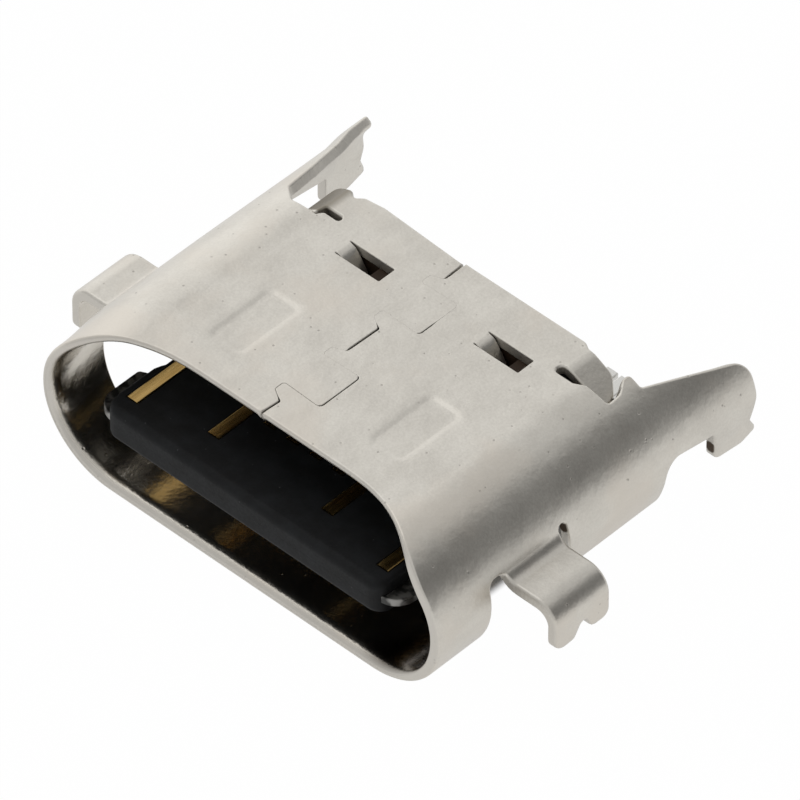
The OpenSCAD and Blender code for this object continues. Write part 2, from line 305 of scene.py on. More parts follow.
class SheetMesher:
    """Closes a sheet between its two faces into one mesh, with every edge rounded."""

    ARC_STEPS = 3
    CLEAR = 0.022
    NUDGE = 1e-3
    MERGE = 1e-7

    def __init__(self, surface: Surface, thickness: float, rims: Sequence[Rim], inner: np.ndarray) -> None:
        """Takes the sheet's form.

        Args:
            surface: Gives the sheet's middle and its outer direction at each place.
            thickness: The sheet's thickness.
            rims: The outer edge first, then holes and pockets, any way round.
            inner: Places between the edges that the faces pass through.
        """
        self.surface = surface
        self.half = thickness / 2
        self.rims = [rim.turned(i == 0) for i, rim in enumerate(rims)]
        self.inner = inner
        self.points: list[np.ndarray] = []
        self.normals: list[np.ndarray] = []
        self.cut: list[np.ndarray] = []
        self.within: list[np.ndarray] = []
        self.faces: list[np.ndarray] = []
        self.count = 0

    def _add(self, points: np.ndarray, normals: np.ndarray, angle: float) -> np.ndarray:
        """Stores vertices that lean by an angle from the outer face and returns their numbers."""
        self.points.append(points)
        self.normals.append(normals / np.linalg.norm(normals, axis=1)[:, None])
        self.cut.append(np.full(len(points), math.sin(angle)))
        self.within.append(np.full(len(points), max(0.0, -math.cos(angle))))
        self.count += len(points)
        return np.arange(self.count - len(points), self.count)

    def _row(self, rim: Rim, inset: np.ndarray, height: np.ndarray, angle: float,
             slope: np.ndarray | float = 1.0) -> np.ndarray:
        """One line of vertices along an edge.

        Args:
            rim: The edge.
            inset: Distance from the edge into the sheet, for each point.
            height: Distance from the sheet's middle towards the outer face, for each point.
            angle: Lean of the surface from the outer face's direction.
            slope: Length of the rounding over its height, for each point.

        Returns:
            The vertices' numbers.
        """
        place = rim.inset(inset)
        middle, normal = self.surface(place)
        within, _ = self.surface(place + rim.inward() * self.NUDGE)
        outward = (middle - within) / np.linalg.norm(middle - within, axis=1)[:, None]
        up = np.broadcast_to(slope * math.cos(angle), len(place))[:, None]
        lean = normal * up + outward * math.sin(angle)
        return self._add(middle + normal * height[:, None], lean, angle)

    def _edge(self, rim: Rim) -> tuple[np.ndarray, np.ndarray]:
        """Builds the rounded wall of one edge and returns its first and last rows."""
        rows = []
        for k in range(self.ARC_STEPS + 1):
            angle = math.pi / 2 * k / self.ARC_STEPS
            inset = rim.outer_round * (1 - math.sin(angle))
            rows.append(self._row(rim, inset, self.half - rim.outer_round * (1 - math.cos(angle)), angle))
        if rim.pocket is None:
            for k in range(self.ARC_STEPS + 1):
                angle = math.pi / 2 * (1 + k / self.ARC_STEPS)
                inset = rim.lead_in * (1 - math.sin(angle))
                height = rim.inner_round * (1 + math.cos(angle)) - self.half
                rows.append(self._row(rim, inset, height, angle, rim.lead_in / rim.inner_round))
        else:
            floor = np.full(len(rim.points), self.half - rim.pocket)
            rows.append(self._row(rim, np.zeros(len(rim.points)), floor, math.pi / 2))
        for upper, lower in zip(rows, rows[1:]):
            nexts = np.roll(upper, -1), np.roll(lower, -1)
            self.faces.append(np.stack([upper, lower, nexts[1]], 1))
            self.faces.append(np.stack([upper, nexts[1], nexts[0]], 1))
        return rows[0], rows[-1]

    def _face(self, loops: Sequence[np.ndarray], rows: Sequence[np.ndarray], inner: np.ndarray,
              height: float, outer: bool) -> None:
        """Fills a face between its edges with triangles.

        Args:
            loops: Outlines of the face, the outer one first.
            rows: Numbers of the vertices that stand on the outlines.
            inner: Places between them.
            height: The face's distance from the sheet's middle.
            outer: Whether it looks the sheet's outer way.
        """
        inner = inner[inside(inner, loops, self.CLEAR)] if len(inner) else inner
        sign = 1.0 if outer else -1.0
        numbers = list(rows)
        if len(inner):
            middle, normal = self.surface(inner)
            numbers.append(self._add(middle + normal * height, normal * sign, 0.0 if outer else math.pi))
        numbers = np.concatenate(numbers)
        flat = np.vstack([*loops, inner]) if len(inner) else np.vstack(loops)
        starts = np.cumsum([0, *(len(loop) for loop in loops)])
        outlines = [list(range(a, b)) for a, b in zip(starts, starts[1:])]
        outlines[1:] = [outline[::-1] for outline in outlines[1:]]
        _, _, triangles, source, _, origin = delaunay_2d_cdt(
            [Vector(p) for p in flat], [], outlines, 0, self.MERGE, True)
        number = np.array([numbers[s[0]] if s else -1 for s in source])
        kept = np.array([t for t, o in zip(triangles, origin) if list(o) == [0]])
        made = number[kept]
        if np.any(made < 0):
            raise ValueError("an outline crosses itself or another one")
        self.faces.append(made if outer else made[:, ::-1])

    def build(self, name: str, seat: Seat) -> Piece:
        """Makes the object.

        Args:
            name: The piece's name.
            seat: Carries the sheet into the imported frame.

        Returns:
            The piece, with its place in its mesh.
        """
        ends = [self._edge(rim) for rim in self.rims]
        outer_loops = [rim.inset(rim.outer_round) for rim in self.rims]
        self._face(outer_loops, [first for first, _ in ends], self.inner, self.half, True)
        through = [(rim, last) for rim, (_, last) in zip(self.rims, ends) if rim.pocket is None]
        inner_loops = [rim.inset(rim.lead_in) for rim, _ in through]
        self._face(inner_loops, [last for _, last in through], self.inner, -self.half, False)
        for rim, (_, last) in zip(self.rims, ends):
            if rim.pocket is not None:
                floor = rim.points[::-1]
                self._face([floor], [last[::-1]], np.empty((0, 2)), self.half - rim.pocket, True)
        return self._object(name, seat)

    def _object(self, name: str, seat: Seat) -> Piece:
        """Turns the stored vertices and faces into an object with its own vertex normals."""
        mesh = bpy.data.meshes.new(name)
        mesh.from_pydata(seat.place(np.vstack(self.points)).tolist(), [], np.vstack(self.faces).tolist())
        mesh.polygons.foreach_set("use_smooth", np.ones(len(mesh.polygons), bool))
        for name_of, values in (("cut", self.cut), ("within", self.within)):
            made = mesh.attributes.new(name_of, "FLOAT", "POINT")
            made.data.foreach_set("value", np.concatenate(values).astype(np.float32))
        mesh.normals_split_custom_set_from_vertices(np.vstack(self.normals).tolist())
        mesh.update()
        return placed(name, mesh)


def level_surface(z: float, up: int) -> Surface:
    """Level plane at height z whose outer side looks up (1) or down (-1)."""

    def surface(uv: np.ndarray) -> tuple[np.ndarray, np.ndarray]:
        """Middle and outer direction at each place."""
        points = np.column_stack([up * uv[:, 0], uv[:, 1], np.full(len(uv), z)])
        return points, np.tile([0.0, 0.0, float(up)], (len(uv), 1))

    return surface


def upright_surface(y: float) -> Surface:
    """Upright plane across the depth at y, whose outer side looks to the rear."""

    def surface(uv: np.ndarray) -> tuple[np.ndarray, np.ndarray]:
        """Middle and outer direction at each place."""
        points = np.column_stack([-uv[:, 0], np.full(len(uv), y), uv[:, 1]])
        return points, np.tile([0.0, 1.0, 0.0], (len(uv), 1))

    return surface


# Shader trees


class Value:
    """A shader socket that carries one number, with the operators of ordinary maths."""

    def __init__(self, shader: "Shader", socket: Socket) -> None:
        """Wraps a socket of the given tree."""
        self.shader = shader
        self.socket = socket

    def _math(self, operation: str, first: object, second: object) -> "Value":
        """Adds a Math node."""
        node = self.shader.node("ShaderNodeMath", {"operation": operation}, {0: first, 1: second})
        return Value(self.shader, node.outputs[0])

    def __add__(self, other: object) -> "Value":
        """Sum."""
        return self._math("ADD", self, other)

    __radd__ = __add__

    def __sub__(self, other: object) -> "Value":
        """Difference."""
        return self._math("SUBTRACT", self, other)

    def __rsub__(self, other: object) -> "Value":
        """Difference from a number."""
        return self._math("SUBTRACT", other, self)

    def __mul__(self, other: object) -> "Value":
        """Product."""
        return self._math("MULTIPLY", self, other)

    def step(self, low: float, high: float) -> "Value":
        """Smooth rise from 0 at low to 1 at high, or a fall where low is above high."""
        sockets = {"Value": self, "From Min": low, "From Max": high}
        node = self.shader.node("ShaderNodeMapRange", {"interpolation_type": "SMOOTHSTEP"}, sockets)
        return Value(self.shader, node.outputs[0])

    def least(self, other: object) -> "Value":
        """The smaller of two values."""
        return self._math("MINIMUM", self, other)

    def off(self, centre: float) -> "Value":
        """Distance from a number, either way."""
        return self._math("ABSOLUTE", self - centre, 0.0)


class Shader:
    """Builds the node tree of a material or of the world."""

    def __init__(self, owner: Material | bpy.types.World) -> None:
        """Takes the owner's tree and empties it."""
        owner.use_nodes = True
        self.tree = owner.node_tree
        self.tree.nodes.clear()

    @classmethod
    def material(cls, name: str) -> tuple["Shader", Material]:
        """A new material and its shader."""
        made = bpy.data.materials.new(name)
        return cls(made), made

    def node(self, kind: str, settings: dict | None = None, sockets: dict | None = None) -> bpy.types.Node:
        """Adds a node.

        Args:
            kind: The node's type.
            settings: Its own settings, set first.
            sockets: Values or links of its inputs, by name or number.

        Returns:
            The node.
        """
        node = self.tree.nodes.new(kind)
        for key, value in (settings or {}).items():
            setattr(node, key, value)
        for key, value in (sockets or {}).items():
            target = node.inputs[key]
            if isinstance(value, Value):
                self.tree.links.new(value.socket, target)
            elif isinstance(value, Socket):
                self.tree.links.new(value, target)
            else:
                target.default_value = value
        return node

    def millimetres(self) -> Socket:
        """Place on the object, in mm."""
        place = self.node("ShaderNodeTexCoord").outputs["Object"]
        scale = self.node("ShaderNodeVectorMath", {"operation": "SCALE"}, {0: place, "Scale": 1 / MM})
        return scale.outputs[0]

    def part(self, vector: Socket, axis: str) -> Value:
        """One coordinate of a vector."""
        split = self.node("ShaderNodeSeparateXYZ", None, {0: vector})
        return Value(self, split.outputs[axis])

    def depth(self, place: Socket, seat: Seat) -> Value:
        """How far a place lies behind the lower lip, in mm."""
        return self.part(place, "Y") - seat.lip_y / MM

    def stretched(self, vector: Socket, scale: Triple) -> Socket:
        """A vector with each coordinate multiplied by its own number."""
        return self.node("ShaderNodeVectorMath", {"operation": "MULTIPLY"}, {0: vector, 1: scale}).outputs[0]

    def noise(self, vector: Socket, scale: float, detail: float = 2.0, rough: float = 0.5) -> Value:
        """Soft noise from 0 to 1, with scale lumps to the millimetre."""
        sockets = {"Vector": vector, "Scale": scale, "Detail": detail, "Roughness": rough}
        return Value(self, self.node("ShaderNodeTexNoise", None, sockets).outputs[0])

    def cells(self, vector: Socket, scale: float) -> tuple[Value, Value]:
        """Distance to the nearest of scattered points, and that point's own random number."""
        node = self.node("ShaderNodeTexVoronoi", None, {"Vector": vector, "Scale": scale})
        random = self.node("ShaderNodeSeparateColor", None, {0: node.outputs["Color"]})
        return Value(self, node.outputs["Distance"]), Value(self, random.outputs[0])

    def distance(self, vector: Socket, point: Triple) -> Value:
        """Distance of a place from a point."""
        node = self.node("ShaderNodeVectorMath", {"operation": "DISTANCE"}, {0: vector, 1: point})
        return Value(self, node.outputs["Value"])

    def mix(self, share: Value | float, first: object, second: object) -> Socket:
        """Colour between two colours."""
        full = [(*c, 1.0) if isinstance(c, tuple) else c for c in (first, second)]
        node = self.node("ShaderNodeMix", {"data_type": "RGBA"}, {0: share, 6: full[0], 7: full[1]})
        return node.outputs[2]

    def attribute(self, name: str) -> Value:
        """A number stored on the mesh."""
        return Value(self, self.node("ShaderNodeAttribute", {"attribute_name": name}).outputs["Fac"])

    def rays(self, *kinds: str) -> list[Value]:
        """1 for rays of each kind, such as Camera or Glossy, and 0 for others."""
        path = self.node("ShaderNodeLightPath")
        return [Value(self, path.outputs[f"Is {kind} Ray"]) for kind in kinds]

    def bump(self, height: Value, distance: float) -> Socket:
        """Surface direction with a height from 0 to 1 that stands for a distance in mm."""
        sockets = {"Height": height, "Distance": distance * MM, "Strength": 1.0}
        return self.node("ShaderNodeBump", None, sockets).outputs[0]

    def principled(self, sockets: dict) -> None:
        """Ends a material in a Principled shader with the given inputs."""
        node = self.node("ShaderNodeBsdfPrincipled", None, sockets)
        self.node("ShaderNodeOutputMaterial", None, {0: node.outputs[0]})


# Finishes


@dataclass(frozen=True)
class NickelFinish:
    """Satin nickel over rolled sheet: mottled and pitted, smoother within, bare where it was broken off,
    darker on the bent straps, and with painted shade within the mouth, in its lower right corner and at two
    dark spots.
    """

    seat: Seat
    name: str = "satin_nickel"
    # Plain sheet, and the share of its warm places
    light: Colour = (0.705, 0.677, 0.618)
    dull: Colour = (0.580, 0.552, 0.500)
    warm: Colour = (0.655, 0.605, 0.535)
    warm_share: float = 0.6
    # Pits: scattered points to the mm, distance where one ends and is full, share that shows, and tint
    pit: Colour = (0.30, 0.28, 0.25)
    pit_scale: float = 7.0
    pit_size: Pair = (0.20, 0.08)
    pit_share: float = 0.24
    pit_tint: float = 0.6
    # Cut edges, and how far the surface leans on them
    sheared: Colour = (0.62, 0.595, 0.55)
    sheared_share: float = 0.7
    sheared_lean: Pair = (0.6, 1.0)
    # Bare metal where the piece was broken off at the first two spots, and painted shade in the same dark
    # colour at the last two, in the tab's rear notch and at the bottom behind the ring; all with a ragged
    # edge
    bare_and_shade: Colour = (0.075, 0.052, 0.034)
    bare_and_shade_spots: tuple[Triple, ...] = (
        (4.27, 6.41, -0.22), (-4.30, 7.47, -0.45), (4.22, 3.02, 0.40), (2.90, 1.30, -1.30))
    bare_and_shade_radii: Pair = (0.15, 0.1125)
    bare_and_shade_ragged: float = 0.05
    # Darker colour on the bent straps: its share at the left and the right, and where it starts and stops
    strap_dark: Colour = (0.22, 0.198, 0.162)
    strap_dark_share: Pair = (0.95, 0.22)
    strap_dark_across: tuple[Pair, Pair] = ((2.60, 2.80), (3.42, 3.34))
    strap_dark_along: tuple[Pair, Pair] = ((4.79, 4.84), (5.7, 5.6))
    strap_dark_above: Pair = (2.40, 2.45)
    middle_blend: Pair = (0.1, -0.1)
    # Painted shade within the mouth: a darker, warmer colour and its share; and where the mouth ends towards
    # the rear
    inner: Colour = (0.55, 0.50, 0.42)
    mouth_shade_share: float = 0.35
    inner_end: Pair = (5.3, 4.8)
    # Painted shade, dark brown, in the lower right corner of the mouth: middle, and radii where it ends and
    # is full
    corner_shade: Colour = (0.055, 0.04, 0.028)
    corner_shade_share: float = 0.9
    corner_shade_spot: Triple = (3.7, 0.3, -1.0)
    corner_shade_radii: Pair = (1.3, 0.7)
    roughness: float = 0.36
    inner_roughness: float = 0.20
    # Noises: lumps to the mm, levels of detail and their strength
    grain: Triple = (22.0, 3.0, 0.6)
    cloud: Triple = (1.3, 4.0, 0.55)
    blush: Triple = (0.55, 3.0, 0.55)
    uneven: Triple = (3.6, 3.0, 0.55)
    smear_scale: Triple = (3.2, 1.4, 3.2)
    streak_scale: Triple = (30.0, 30.0, 4.0)
    # Shares of cloud, smear and grain in the colour; of cloud, grain and cut in the roughness
    worn_shares: Triple = (0.4, 0.25, 0.35)
    rough_shares: Triple = (0.10, 0.08, 0.16)
    # Shares of grain, pits, streaks and unevenness in the height, and what the height stands for in mm
    relief: tuple[float, ...] = (0.8, 1.4, 1.5, 3.2)
    grain_depth: float = 0.0027

    def material(self) -> Material:
        """Makes the material."""
        shader, made = Shader.material(self.name)
        place = shader.millimetres()
        grain = shader.noise(place, *self.grain)
        cloud = shader.noise(place, *self.cloud)
        near, chance = shader.cells(place, self.pit_scale)
        pits = near.step(*self.pit_size) * chance.step(1 - self.pit_share, 1 - self.pit_share / 2)
        cut = shader.attribute("cut").step(*self.sheared_lean)
        within = shader.attribute("within")
        mouth = within * shader.depth(place, self.seat).step(*self.inner_end)
        colour = self._colour(shader, place, grain, cloud)
        colour = shader.mix(pits * self.pit_tint, colour, self.pit)
        # Painted shade: the mouth's inner face darker and warmer
        colour = shader.mix(mouth * self.mouth_shade_share, colour, self.inner)
        # Painted shade: dark brown in the mouth's lower right corner
        corner_shaded = self._from_spot(shader, place, self.corner_shade_spot).step(*self.corner_shade_radii)
        colour = shader.mix(corner_shaded * within * self.corner_shade_share, colour, self.corner_shade)
        colour = shader.mix(cut * self.sheared_share, colour, self.sheared)
        # Darker colour on the bent straps, strongest at the left
        colour = shader.mix(self._strap_darkened(shader, place), colour, self.strap_dark)
        # Bare metal at the break-off spots and painted shade at the last two spots, in one dark colour
        for spot in self.bare_and_shade_spots:
            ragged = self._from_spot(shader, place, spot) + grain * self.bare_and_shade_ragged
            broken_and_shaded = ragged.step(*self.bare_and_shade_radii)
            colour = shader.mix(broken_and_shaded * (cut + within).least(1.0), colour, self.bare_and_shade)
        streaks = shader.noise(shader.stretched(place, self.streak_scale), 1.0)
        by_grain, by_pits, by_streaks, by_uneven = self.relief
        height = grain * by_grain - pits * by_pits + cut * streaks * by_streaks
        height = height + shader.noise(place, *self.uneven) * by_uneven
        by_cloud, by_grain, by_cut = self.rough_shares
        rough = cloud * by_cloud + grain * by_grain + cut * by_cut
        rough = rough + mouth * (self.inner_roughness - self.roughness)
        shader.principled({
            "Base Color": colour,
            "Metallic": 1.0,
            "Roughness": rough + (self.roughness - (by_cloud + by_grain) / 2),
            "Normal": shader.bump(height, self.grain_depth),
        })
        return made

    def _colour(self, shader: Shader, place: Socket, grain: Value, cloud: Value) -> Socket:
        """Colour of the plain sheet, mottled and faintly warm in places."""
        smear = shader.noise(shader.stretched(place, self.smear_scale), 1.0, 4.0, 0.6)
        by_cloud, by_smear, by_grain = self.worn_shares
        worn = cloud.step(0.3, 0.7) * by_cloud + smear.step(0.35, 0.65) * by_smear
        worn = worn + grain.step(0.35, 0.65) * by_grain
        blush = shader.noise(place, *self.blush).step(0.46, 0.66)
        return shader.mix(blush * self.warm_share, shader.mix(worn, self.dull, self.light), self.warm)

    def _from_spot(self, shader: Shader, place: Socket, spot: Triple) -> Value:
        """Distance from a spot that is given from the mouth, in mm."""
        return shader.distance(place, tuple(self.seat.place(np.array(spot)) / MM))

    def _strap_darkened(self, shader: Shader, place: Socket) -> Value:
        """Share of the darker colour on the bent straps, 0 elsewhere."""
        across = shader.part(place, "X")
        along = shader.depth(place, self.seat)
        left, right = self.strap_dark_share
        share = across.step(*self.middle_blend) * (left - right) + right
        for edge in self.strap_dark_across:
            share = share * across.off(0.0).step(*edge)
        for edge in self.strap_dark_along:
            share = share * along.step(*edge)
        return share * shader.part(place, "Z").step(*self.strap_dark_above)


@dataclass(frozen=True)
class MouldingFinish:
    """Black glass-filled moulding: dull, faintly blue, with pale flecks of filler and brown pocket floors
    under the windows.
    """

    seat: Seat
    name: str = "black_moulding"
    dark: Colour = (0.0032, 0.0035, 0.0039)
    grey: Colour = (0.008, 0.009, 0.0102)
    # Brown colour of the pocket floors under the windows
    pocket_brown: Colour = (0.038, 0.023, 0.014)
    # Pockets under the windows: span along, least height, and the width of their edge
    pocket_y: Pair = (4.20, 4.69)
    pocket_z: float = 0.60
    pocket_edge: float = 0.02
    fleck: Colour = (0.06, 0.063, 0.065)
    fleck_scale: float = 9.0
    fleck_tint: float = 0.7
    cloud: Triple = (2.2, 4.0, 0.6)
    grain: float = 26.0
    grain_depth: float = 0.0016
    roughness: float = 0.62
    sheen: float = 0.22

    def material(self) -> Material:
        """Makes the material."""
        shader, made = Shader.material(self.name)
        place = shader.millimetres()
        grain = shader.noise(place, self.grain)
        near, chance = shader.cells(place, self.fleck_scale)
        flecks = near.step(0.16, 0.05) * chance.step(0.86, 0.92)
        colour = shader.mix(shader.noise(place, *self.cloud).step(0.35, 0.7), self.dark, self.grey)
        colour = shader.mix(flecks * self.fleck_tint, colour, self.fleck)
        depth = shader.depth(place, self.seat)
        height = shader.part(place, "Z") - self.seat.axis_z / MM
        low, high = self.pocket_y
        pocket = depth.step(low, low + self.pocket_edge) * depth.step(high, high - self.pocket_edge)
        pocket = pocket * height.step(self.pocket_z, self.pocket_z + self.pocket_edge / 2)
        shader.principled({
            "Base Color": shader.mix(pocket, colour, self.pocket_brown),
            "Specular IOR Level": self.sheen,
            "Roughness": grain * 0.2 + (self.roughness - 0.1),
            "Normal": shader.bump(grain + flecks * 0.6, self.grain_depth),
        })
        return made


@dataclass(frozen=True)
class PlateFinish:
    """Stamped steel plate, dark, with bright patches in its colour that paint the glints along its edge."""

    name: str = "stamped_steel"
    # Bright colour of the patches that paint glints, and the plate's dull colour
    light: Colour = (0.30, 0.295, 0.28)
    dull: Colour = (0.06, 0.06, 0.058)
    roughness: float = 0.42
    grain_scale: Triple = (24.0, 3.0, 24.0)
    grain_depth: float = 0.001
    glint_patch_scale: float = 4.5

    def material(self) -> Material:
        """Makes the material."""
        shader, made = Shader.material(self.name)
        place = shader.millimetres()
        grain = shader.noise(shader.stretched(place, self.grain_scale), 1.0)
        patch = shader.noise(place, self.glint_patch_scale)
        shader.principled({
            # Painted highlight: bright patches of colour stand for glints
            "Base Color": shader.mix(patch.step(0.42, 0.62), self.dull, self.light),
            "Metallic": 1.0,
            "Roughness": grain * 0.15 + (self.roughness - 0.07),
            "Normal": shader.bump(grain, self.grain_depth),
        })
        return made


@dataclass(frozen=True)
class ContactFinish:
    """Gold flash on the contact face, dull tin on the solder tail."""

    seat: Seat
    name: str = "gold_and_tin"
    gold: Colour = (0.86, 0.62, 0.26)
    worn: Colour = (0.62, 0.42, 0.16)
    tin: Colour = (0.70, 0.69, 0.66)
    tin_y: Pair = (5.5, 5.62)
    grain: Pair = (18.0, 3.0)
    grain_depth: float = 0.0012
    wipe_scale: Triple = (20.0, 1.5, 20.0)
    roughness: float = 0.22

    def material(self) -> Material:
        """Makes the material."""
        shader, made = Shader.material(self.name)
        place = shader.millimetres()
        grain = shader.noise(place, *self.grain)
        wipe = shader.noise(shader.stretched(place, self.wipe_scale), 1.0)
        plated = shader.mix(wipe.step(0.25, 0.7), self.worn, self.gold)
        tinned = shader.depth(place, self.seat).step(*self.tin_y)
        shader.principled({
            "Base Color": shader.mix(tinned, plated, self.tin),
            "Metallic": 1.0,
            "Roughness": wipe * 0.14 + tinned * 0.12 + (self.roughness - 0.07),
            "Normal": shader.bump(grain * 0.6 + wipe * 0.4, self.grain_depth),
        })
        return made


# Shell


class Bend(NamedTuple):
    """Stretch of a strip's middle line: its length in mm and the angle it turns down through."""

    length: float
    turn: float = 0.0


@dataclass(frozen=True)
class Strip:
    """Folded strip in the plane of x and z, from a start point and heading.

    A heading is the angle below +x that the strip runs at, and the outer side is on its left.
    """

    x: float
    z: float
    heading: float
    bends: tuple[Bend, ...]

    def at(self, length: np.ndarray) -> np.ndarray:
        """Place and outer direction at each length along the strip.

        Args:
            length: Lengths from the strip's start.

        Returns:
            Rows of x, z and the outer direction's x and z.
        """
        length = np.asarray(length, float)
        made = np.zeros((4, len(length)))
        x, z, heading, start = self.x, self.z, self.heading, 0.0
        for i, bend in enumerate(self.bends):
            end = start + bend.length
            part = (length >= start) if i else np.ones(len(length), bool)
            if i < len(self.bends) - 1:
                part &= length < end
            along = length[part] - start
            made[:, part] = self._stretch(x, z, heading, bend, along)
            x, z = self._stretch(x, z, heading, bend, np.array([bend.length]))[:2, 0]
            heading += bend.turn
            start = end
        return made

    @staticmethod
    def _stretch(x: float, z: float, heading: float, bend: Bend, along: np.ndarray) -> np.ndarray:
        """Place and outer direction along one stretch."""
        if bend.turn == 0:
            sine, cosine = np.full((2, len(along)), [[math.sin(heading)], [math.cos(heading)]])
            return np.array([x + along * cosine, z - along * sine, sine, cosine])
        radius = bend.length / bend.turn
        angle = heading + along / radius
        return np.array([
            x + radius * (np.sin(angle) - math.sin(heading)),
            z + radius * (np.cos(angle) - math.cos(heading)),
            np.sin(angle), np.cos(angle)])


@dataclass
class Shell:
    """Folded sheet: a rounded tube with tabs, straps, wings, lanced windows and a keyed seam.

    The sheet is drawn flat, as its blank, and then folded. Across the blank runs the length
    round the tube's section, from the middle of the top; along it runs the depth. Where the
    two sides differ, a value is a pair for the left and the right.
    """

    seat: Seat
    mouth_w: float = 8.34
    mouth_h: float = 2.56
    sheet: float = 0.2
    # Upper lip: its set-back, and where the set-back starts to run out and ends
    lip_back: float = 0.8
    lip_x0: float = 1.2
    lip_x1: Pair = (4.25, 4.05)
    lip_power: float = 1.75
    # Places round the section where the lip's rounding changes, the last two counted back
    lip_stops: tuple[float, ...] = (2.9, 3.7, 5.4, 7.0, -3.8, -3.0)
    # Ring behind the lip, top and bottom plates
    ring_depth: float = 1.24
    ring_by_tab: Pair = (1.34, 1.24)
    top_depth: float = 5.52
    left_top_depth: float = 5.48
    bottom_half: float = 2.75
    bottom_depth: float = 5.30
    skirt_z: float = -0.54
    # Mounting tabs
    tab_y0: float = 1.61
    tab_y1: float = 2.86
    tab_z: float = 0.2
    tab_bend: float = 0.35
    tab_reach: Pair = (5.13, 5.3)
    tab_lift: Pair = (0.11, 0.0)
    knee: float = 0.34
    foot_z: float = -0.62
    # Nick in the foot's lower end: height, depth and radius of its corners
    foot_nick: tuple[Triple, ...] = ((-0.38, 2.34, 0.08), (-0.33, 2.22, 0.1), (-0.60, 2.05, 0.14))
    notch_z: Pair = (0.47, 0.54)
    wall_y0: float = 3.02
    # Straps at the rear corners of the top, the right one's taper, and the margin of their area
    strap_x: float = 2.45
    strap_start: Pair = (2.70, 2.55)
    strap_bend: float = 0.2
    strap_turn: Pair = (math.radians(31), math.radians(28))
    strap_tip: Pair = (3.10, 3.40)
    strap_y0: float = 4.87
    left_strap_y0: float = 4.75
    strap_y1: float = 5.44
    strap_taper: float = 0.85
    strap_taper_y: float = 5.15
    strap_margin: Pair = (0.04, 0.03)
    slot_y: float = 4.70
    # Rear wings: their end, and where the straight feet and the rounder inner edge start
    wing_end: float = 7.44
    foot_y: float = 5.7
    wing_tip_y: float = 7.0
    # Outward bulge of the left side: at the tab, ahead of the wing and along the wing
    bulge: Triple = (0.08, 0.06, 0.115)
    # Start and length of each change of the bulge along the depth, and of its two ends round the section
    bulge_along: tuple[Pair, ...] = ((0.2, 1.1), (3.2, 2.8), (6.3, 0.55))
    bulge_round: tuple[Pair, ...] = ((2.7, 1.2), (7.2, -1.6))
    # Windows and their flaps, each with its hinge at the left
    window_x: Pair = (-1.93, 1.11)
    window_len: float = 0.96
    window_y: float = 4.26
    window_w: float = 0.37
    flap_gap: float = 0.02
    flap_len: float = 0.53
    flap_bend: float = 0.14
    flap_turn: float = math.radians(56)
    # Pressed pads
    pad: Pair = (1.76, 2.235)
    pad_half: Pair = (0.36, 0.715)
    pad_round: float = 0.15
    pad_sink: float = 0.018
    pad_edge: float = 0.07
    # Seam and its dovetail keys
    seam_x: float = -0.25
    keys: Pair = (2.0, 4.27)
    key_half: float = 0.47
    key_reach: float = 0.34
    hook_x: float = -0.47
    slit: float = 0.029
    closed_slit: Pair = (0.001, 0.004)
    key_slit: float = 0.016
    # Distance past a key where the slit starts to open, and lengths that it and the keys change over
    slit_open: Pair = (0.27, 0.06)
    key_blend: float = 0.2
    key_end: float = 0.04
    # Radii of the cut edges, at the outer and the inner face, and the place where a tab's own starts
    edge_round: Pair = (0.045, 0.03)
    wing_round: float = 0.08
    tab_round: float = 0.07
    tab_place: float = 4.8
    # Lip at the top, at the right wall and elsewhere: outer radius, and the lead-in's height and length
    lip_rounds: tuple[Triple, Triple, Triple] = (
        (0.05, 0.14, 0.26), (0.05, 0.03, 0.03), (0.07, 0.12, 0.26))
    seam_round: Pair = (0.018, 0.01)
    closed_round: Pair = (0.004, 0.011)
    window_round: Pair = (0.02, 0.015)
    # Spacing of the places within the blank: everywhere, and on the tabs, straps and flaps
    grid: float = 0.1
    tab_grid: Pair = (0.036, 0.09)
    strap_grid: Pair = (0.045, 0.06)
    flap_grid: Pair = (0.035, 0.06)
    # Rows behind the lip and round the pads, and the bands that they take up
    lip_rows: tuple[float, ...] = (0.06, 0.11, 0.16, 0.22)
    lip_band: float = 0.32
    lip_count: int = 260
    pad_rows: tuple[float, ...] = (-0.06, -0.04, -0.02, 0.0, 0.02, 0.04, 0.06)
    pad_band: float = 0.11

    def __post_init__(self) -> None:
        """Works out the blank and the folds."""
        self.radius = (self.mouth_h + self.sheet) / 2
        self.outer = self.mouth_h / 2 + self.sheet
        self.flat = (self.mouth_w - self.mouth_h) / 2
        self.half_turn = 2 * self.flat + math.pi * self.radius
        self.full_turn = 2 * self.half_turn
        self.tube = Strip(0.0, self.radius, 0.0, (
            Bend(self.flat), Bend(math.pi * self.radius, math.pi), Bend(self.flat)))
        self.tabs = {side: self._tab_strip(*form) for side, *form in zip(Side, self.tab_lift, self.tab_reach)}
        self.straps = {
            side: (start, Strip(start, self.radius, 0.0, (Bend(self.strap_bend * turn, turn), Bend(1.0))))
            for side, start, turn in zip(Side, self.strap_start, self.strap_turn)}
        self.foot = Strip(self.flat + self.radius, 0.0, math.pi / 2, (Bend(1.0),))
        self.foot_start = self.flat + self.radius * math.pi / 2
        self.hinges = (self.window_x[1], self.full_turn + self.window_x[0])
        self.flap = Strip(0.0, self.radius, 0.0, (
            Bend(self.flap_bend * self.flap_turn, self.flap_turn), Bend(1.0)))

    def at_height(self, z: float) -> float:
        """Place round the section where the outer face is at height z."""
        return self.flat + self.radius * math.acos(z / self.outer)

